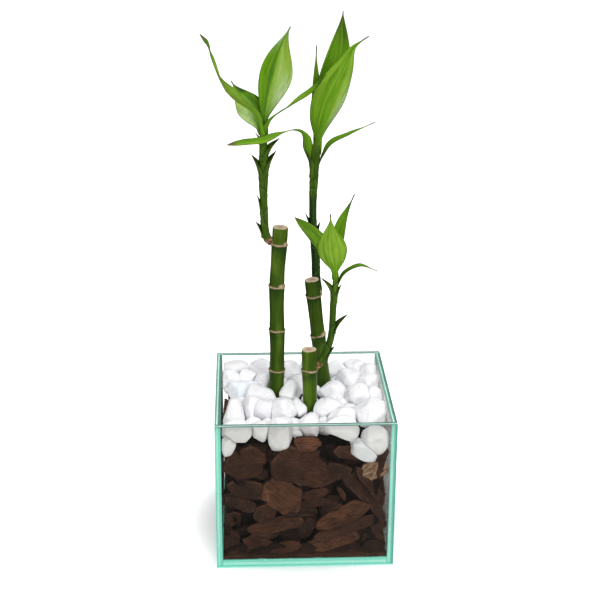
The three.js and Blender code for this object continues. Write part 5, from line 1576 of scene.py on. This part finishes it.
def table_top():
    """A wide flat sheet, a hair under the pot."""
    mesh = bpy.data.meshes.new("table_top")
    corners = [(-1, -1), (1, -1), (1, 1), (-1, 1)]
    mesh.from_pydata([(x * TABLE_REACH, y * TABLE_REACH, -TABLE_DROP) for x, y in corners],
                     [], [(0, 1, 2, 3)])
    mesh.materials.append(finish_material("white_table", table_look))
    sheet = bpy.data.objects.new("table_top", mesh)
    bpy.context.scene.collection.objects.link(sheet)


def lamp(name, at, aim, size, power):
    """A square soft lamp that shines from a place towards another."""
    light = bpy.data.lights.new(name, "AREA")
    light.size = size
    light.energy = power
    made = bpy.data.objects.new(name, light)
    at, aim = np.array(at, float), np.array(aim, float)
    back = (at - aim) / np.linalg.norm(at - aim)
    across = np.cross([0, 0, 1.0], back)
    across /= np.linalg.norm(across)
    up = np.cross(back, across)
    made.matrix_world = Matrix([(*row, place) for row, place in zip(np.stack([across, up, back], 1), at)]
                               + [(0, 0, 0, 1)])
    bpy.context.scene.collection.objects.link(made)


table_top()
lamp("lamp_front", (0.65, -1.2, 0.9), (0, 0, 0.2), 0.9, 12.0)
lamp("lamp_left", (-1.1, -0.6, 0.9), (0, 0, 0.2), 0.8, 2.5)
lamp("lamp_above", (0.1, 0.2, 1.3), (0, 0, 0.1), 1.0, 8.5)

world = bpy.data.worlds.new("white_room")
world.use_nodes = True
room = world.node_tree
away = wire(room, "ShaderNodeTexCoord").outputs["Generated"]
deep, high = wire(room, "ShaderNodeSeparateXYZ", {0: away}).outputs[1:]
rise = maths(room, "SUBTRACT", maths(room, "MULTIPLY", high, 0.8), maths(room, "MULTIPLY", deep, 0.45))
shown = seen_directly(room)
lights = blend_values(room, shown, steps(room, rise, 0.0, 0.9, 0.12, 0.5), 0.0)
glow = maths(room, "ADD", lights, maths(room, "MULTIPLY", shown, 1.05))
room.links.new(glow, room.nodes["Background"].inputs["Strength"])
room.nodes["Background"].inputs["Color"].default_value = PURE_WHITE
bpy.context.scene.world = world
bpy.context.scene.view_settings.view_transform = "Standard"


def photo_camera():
    """Looks along its heading, turned towards +X, tipped down and rolled slightly."""
    heading = np.array([np.sin(CAMERA_TURN) * np.cos(CAMERA_DOWN),
                        np.cos(CAMERA_TURN) * np.cos(CAMERA_DOWN), -np.sin(CAMERA_DOWN)])
    across = np.array([np.cos(CAMERA_TURN), -np.sin(CAMERA_TURN), 0])
    up = np.cross(across, heading)
    s, c = np.sin(CAMERA_ROLL), np.cos(CAMERA_ROLL)
    axes = np.stack([c * across + s * up, -s * across + c * up, -heading], 1)
    view = bpy.data.cameras.new("photo_camera")
    view.lens = CAMERA_LENS
    view.sensor_width = CAMERA_SENSOR
    made = bpy.data.objects.new("photo_camera", view)
    made.matrix_world = Matrix([(*row, at * MM) for row, at in zip(axes, CAMERA_AT)] + [(0, 0, 0, 1)])
    bpy.context.scene.collection.objects.link(made)
    bpy.context.scene.camera = made


photo_camera()
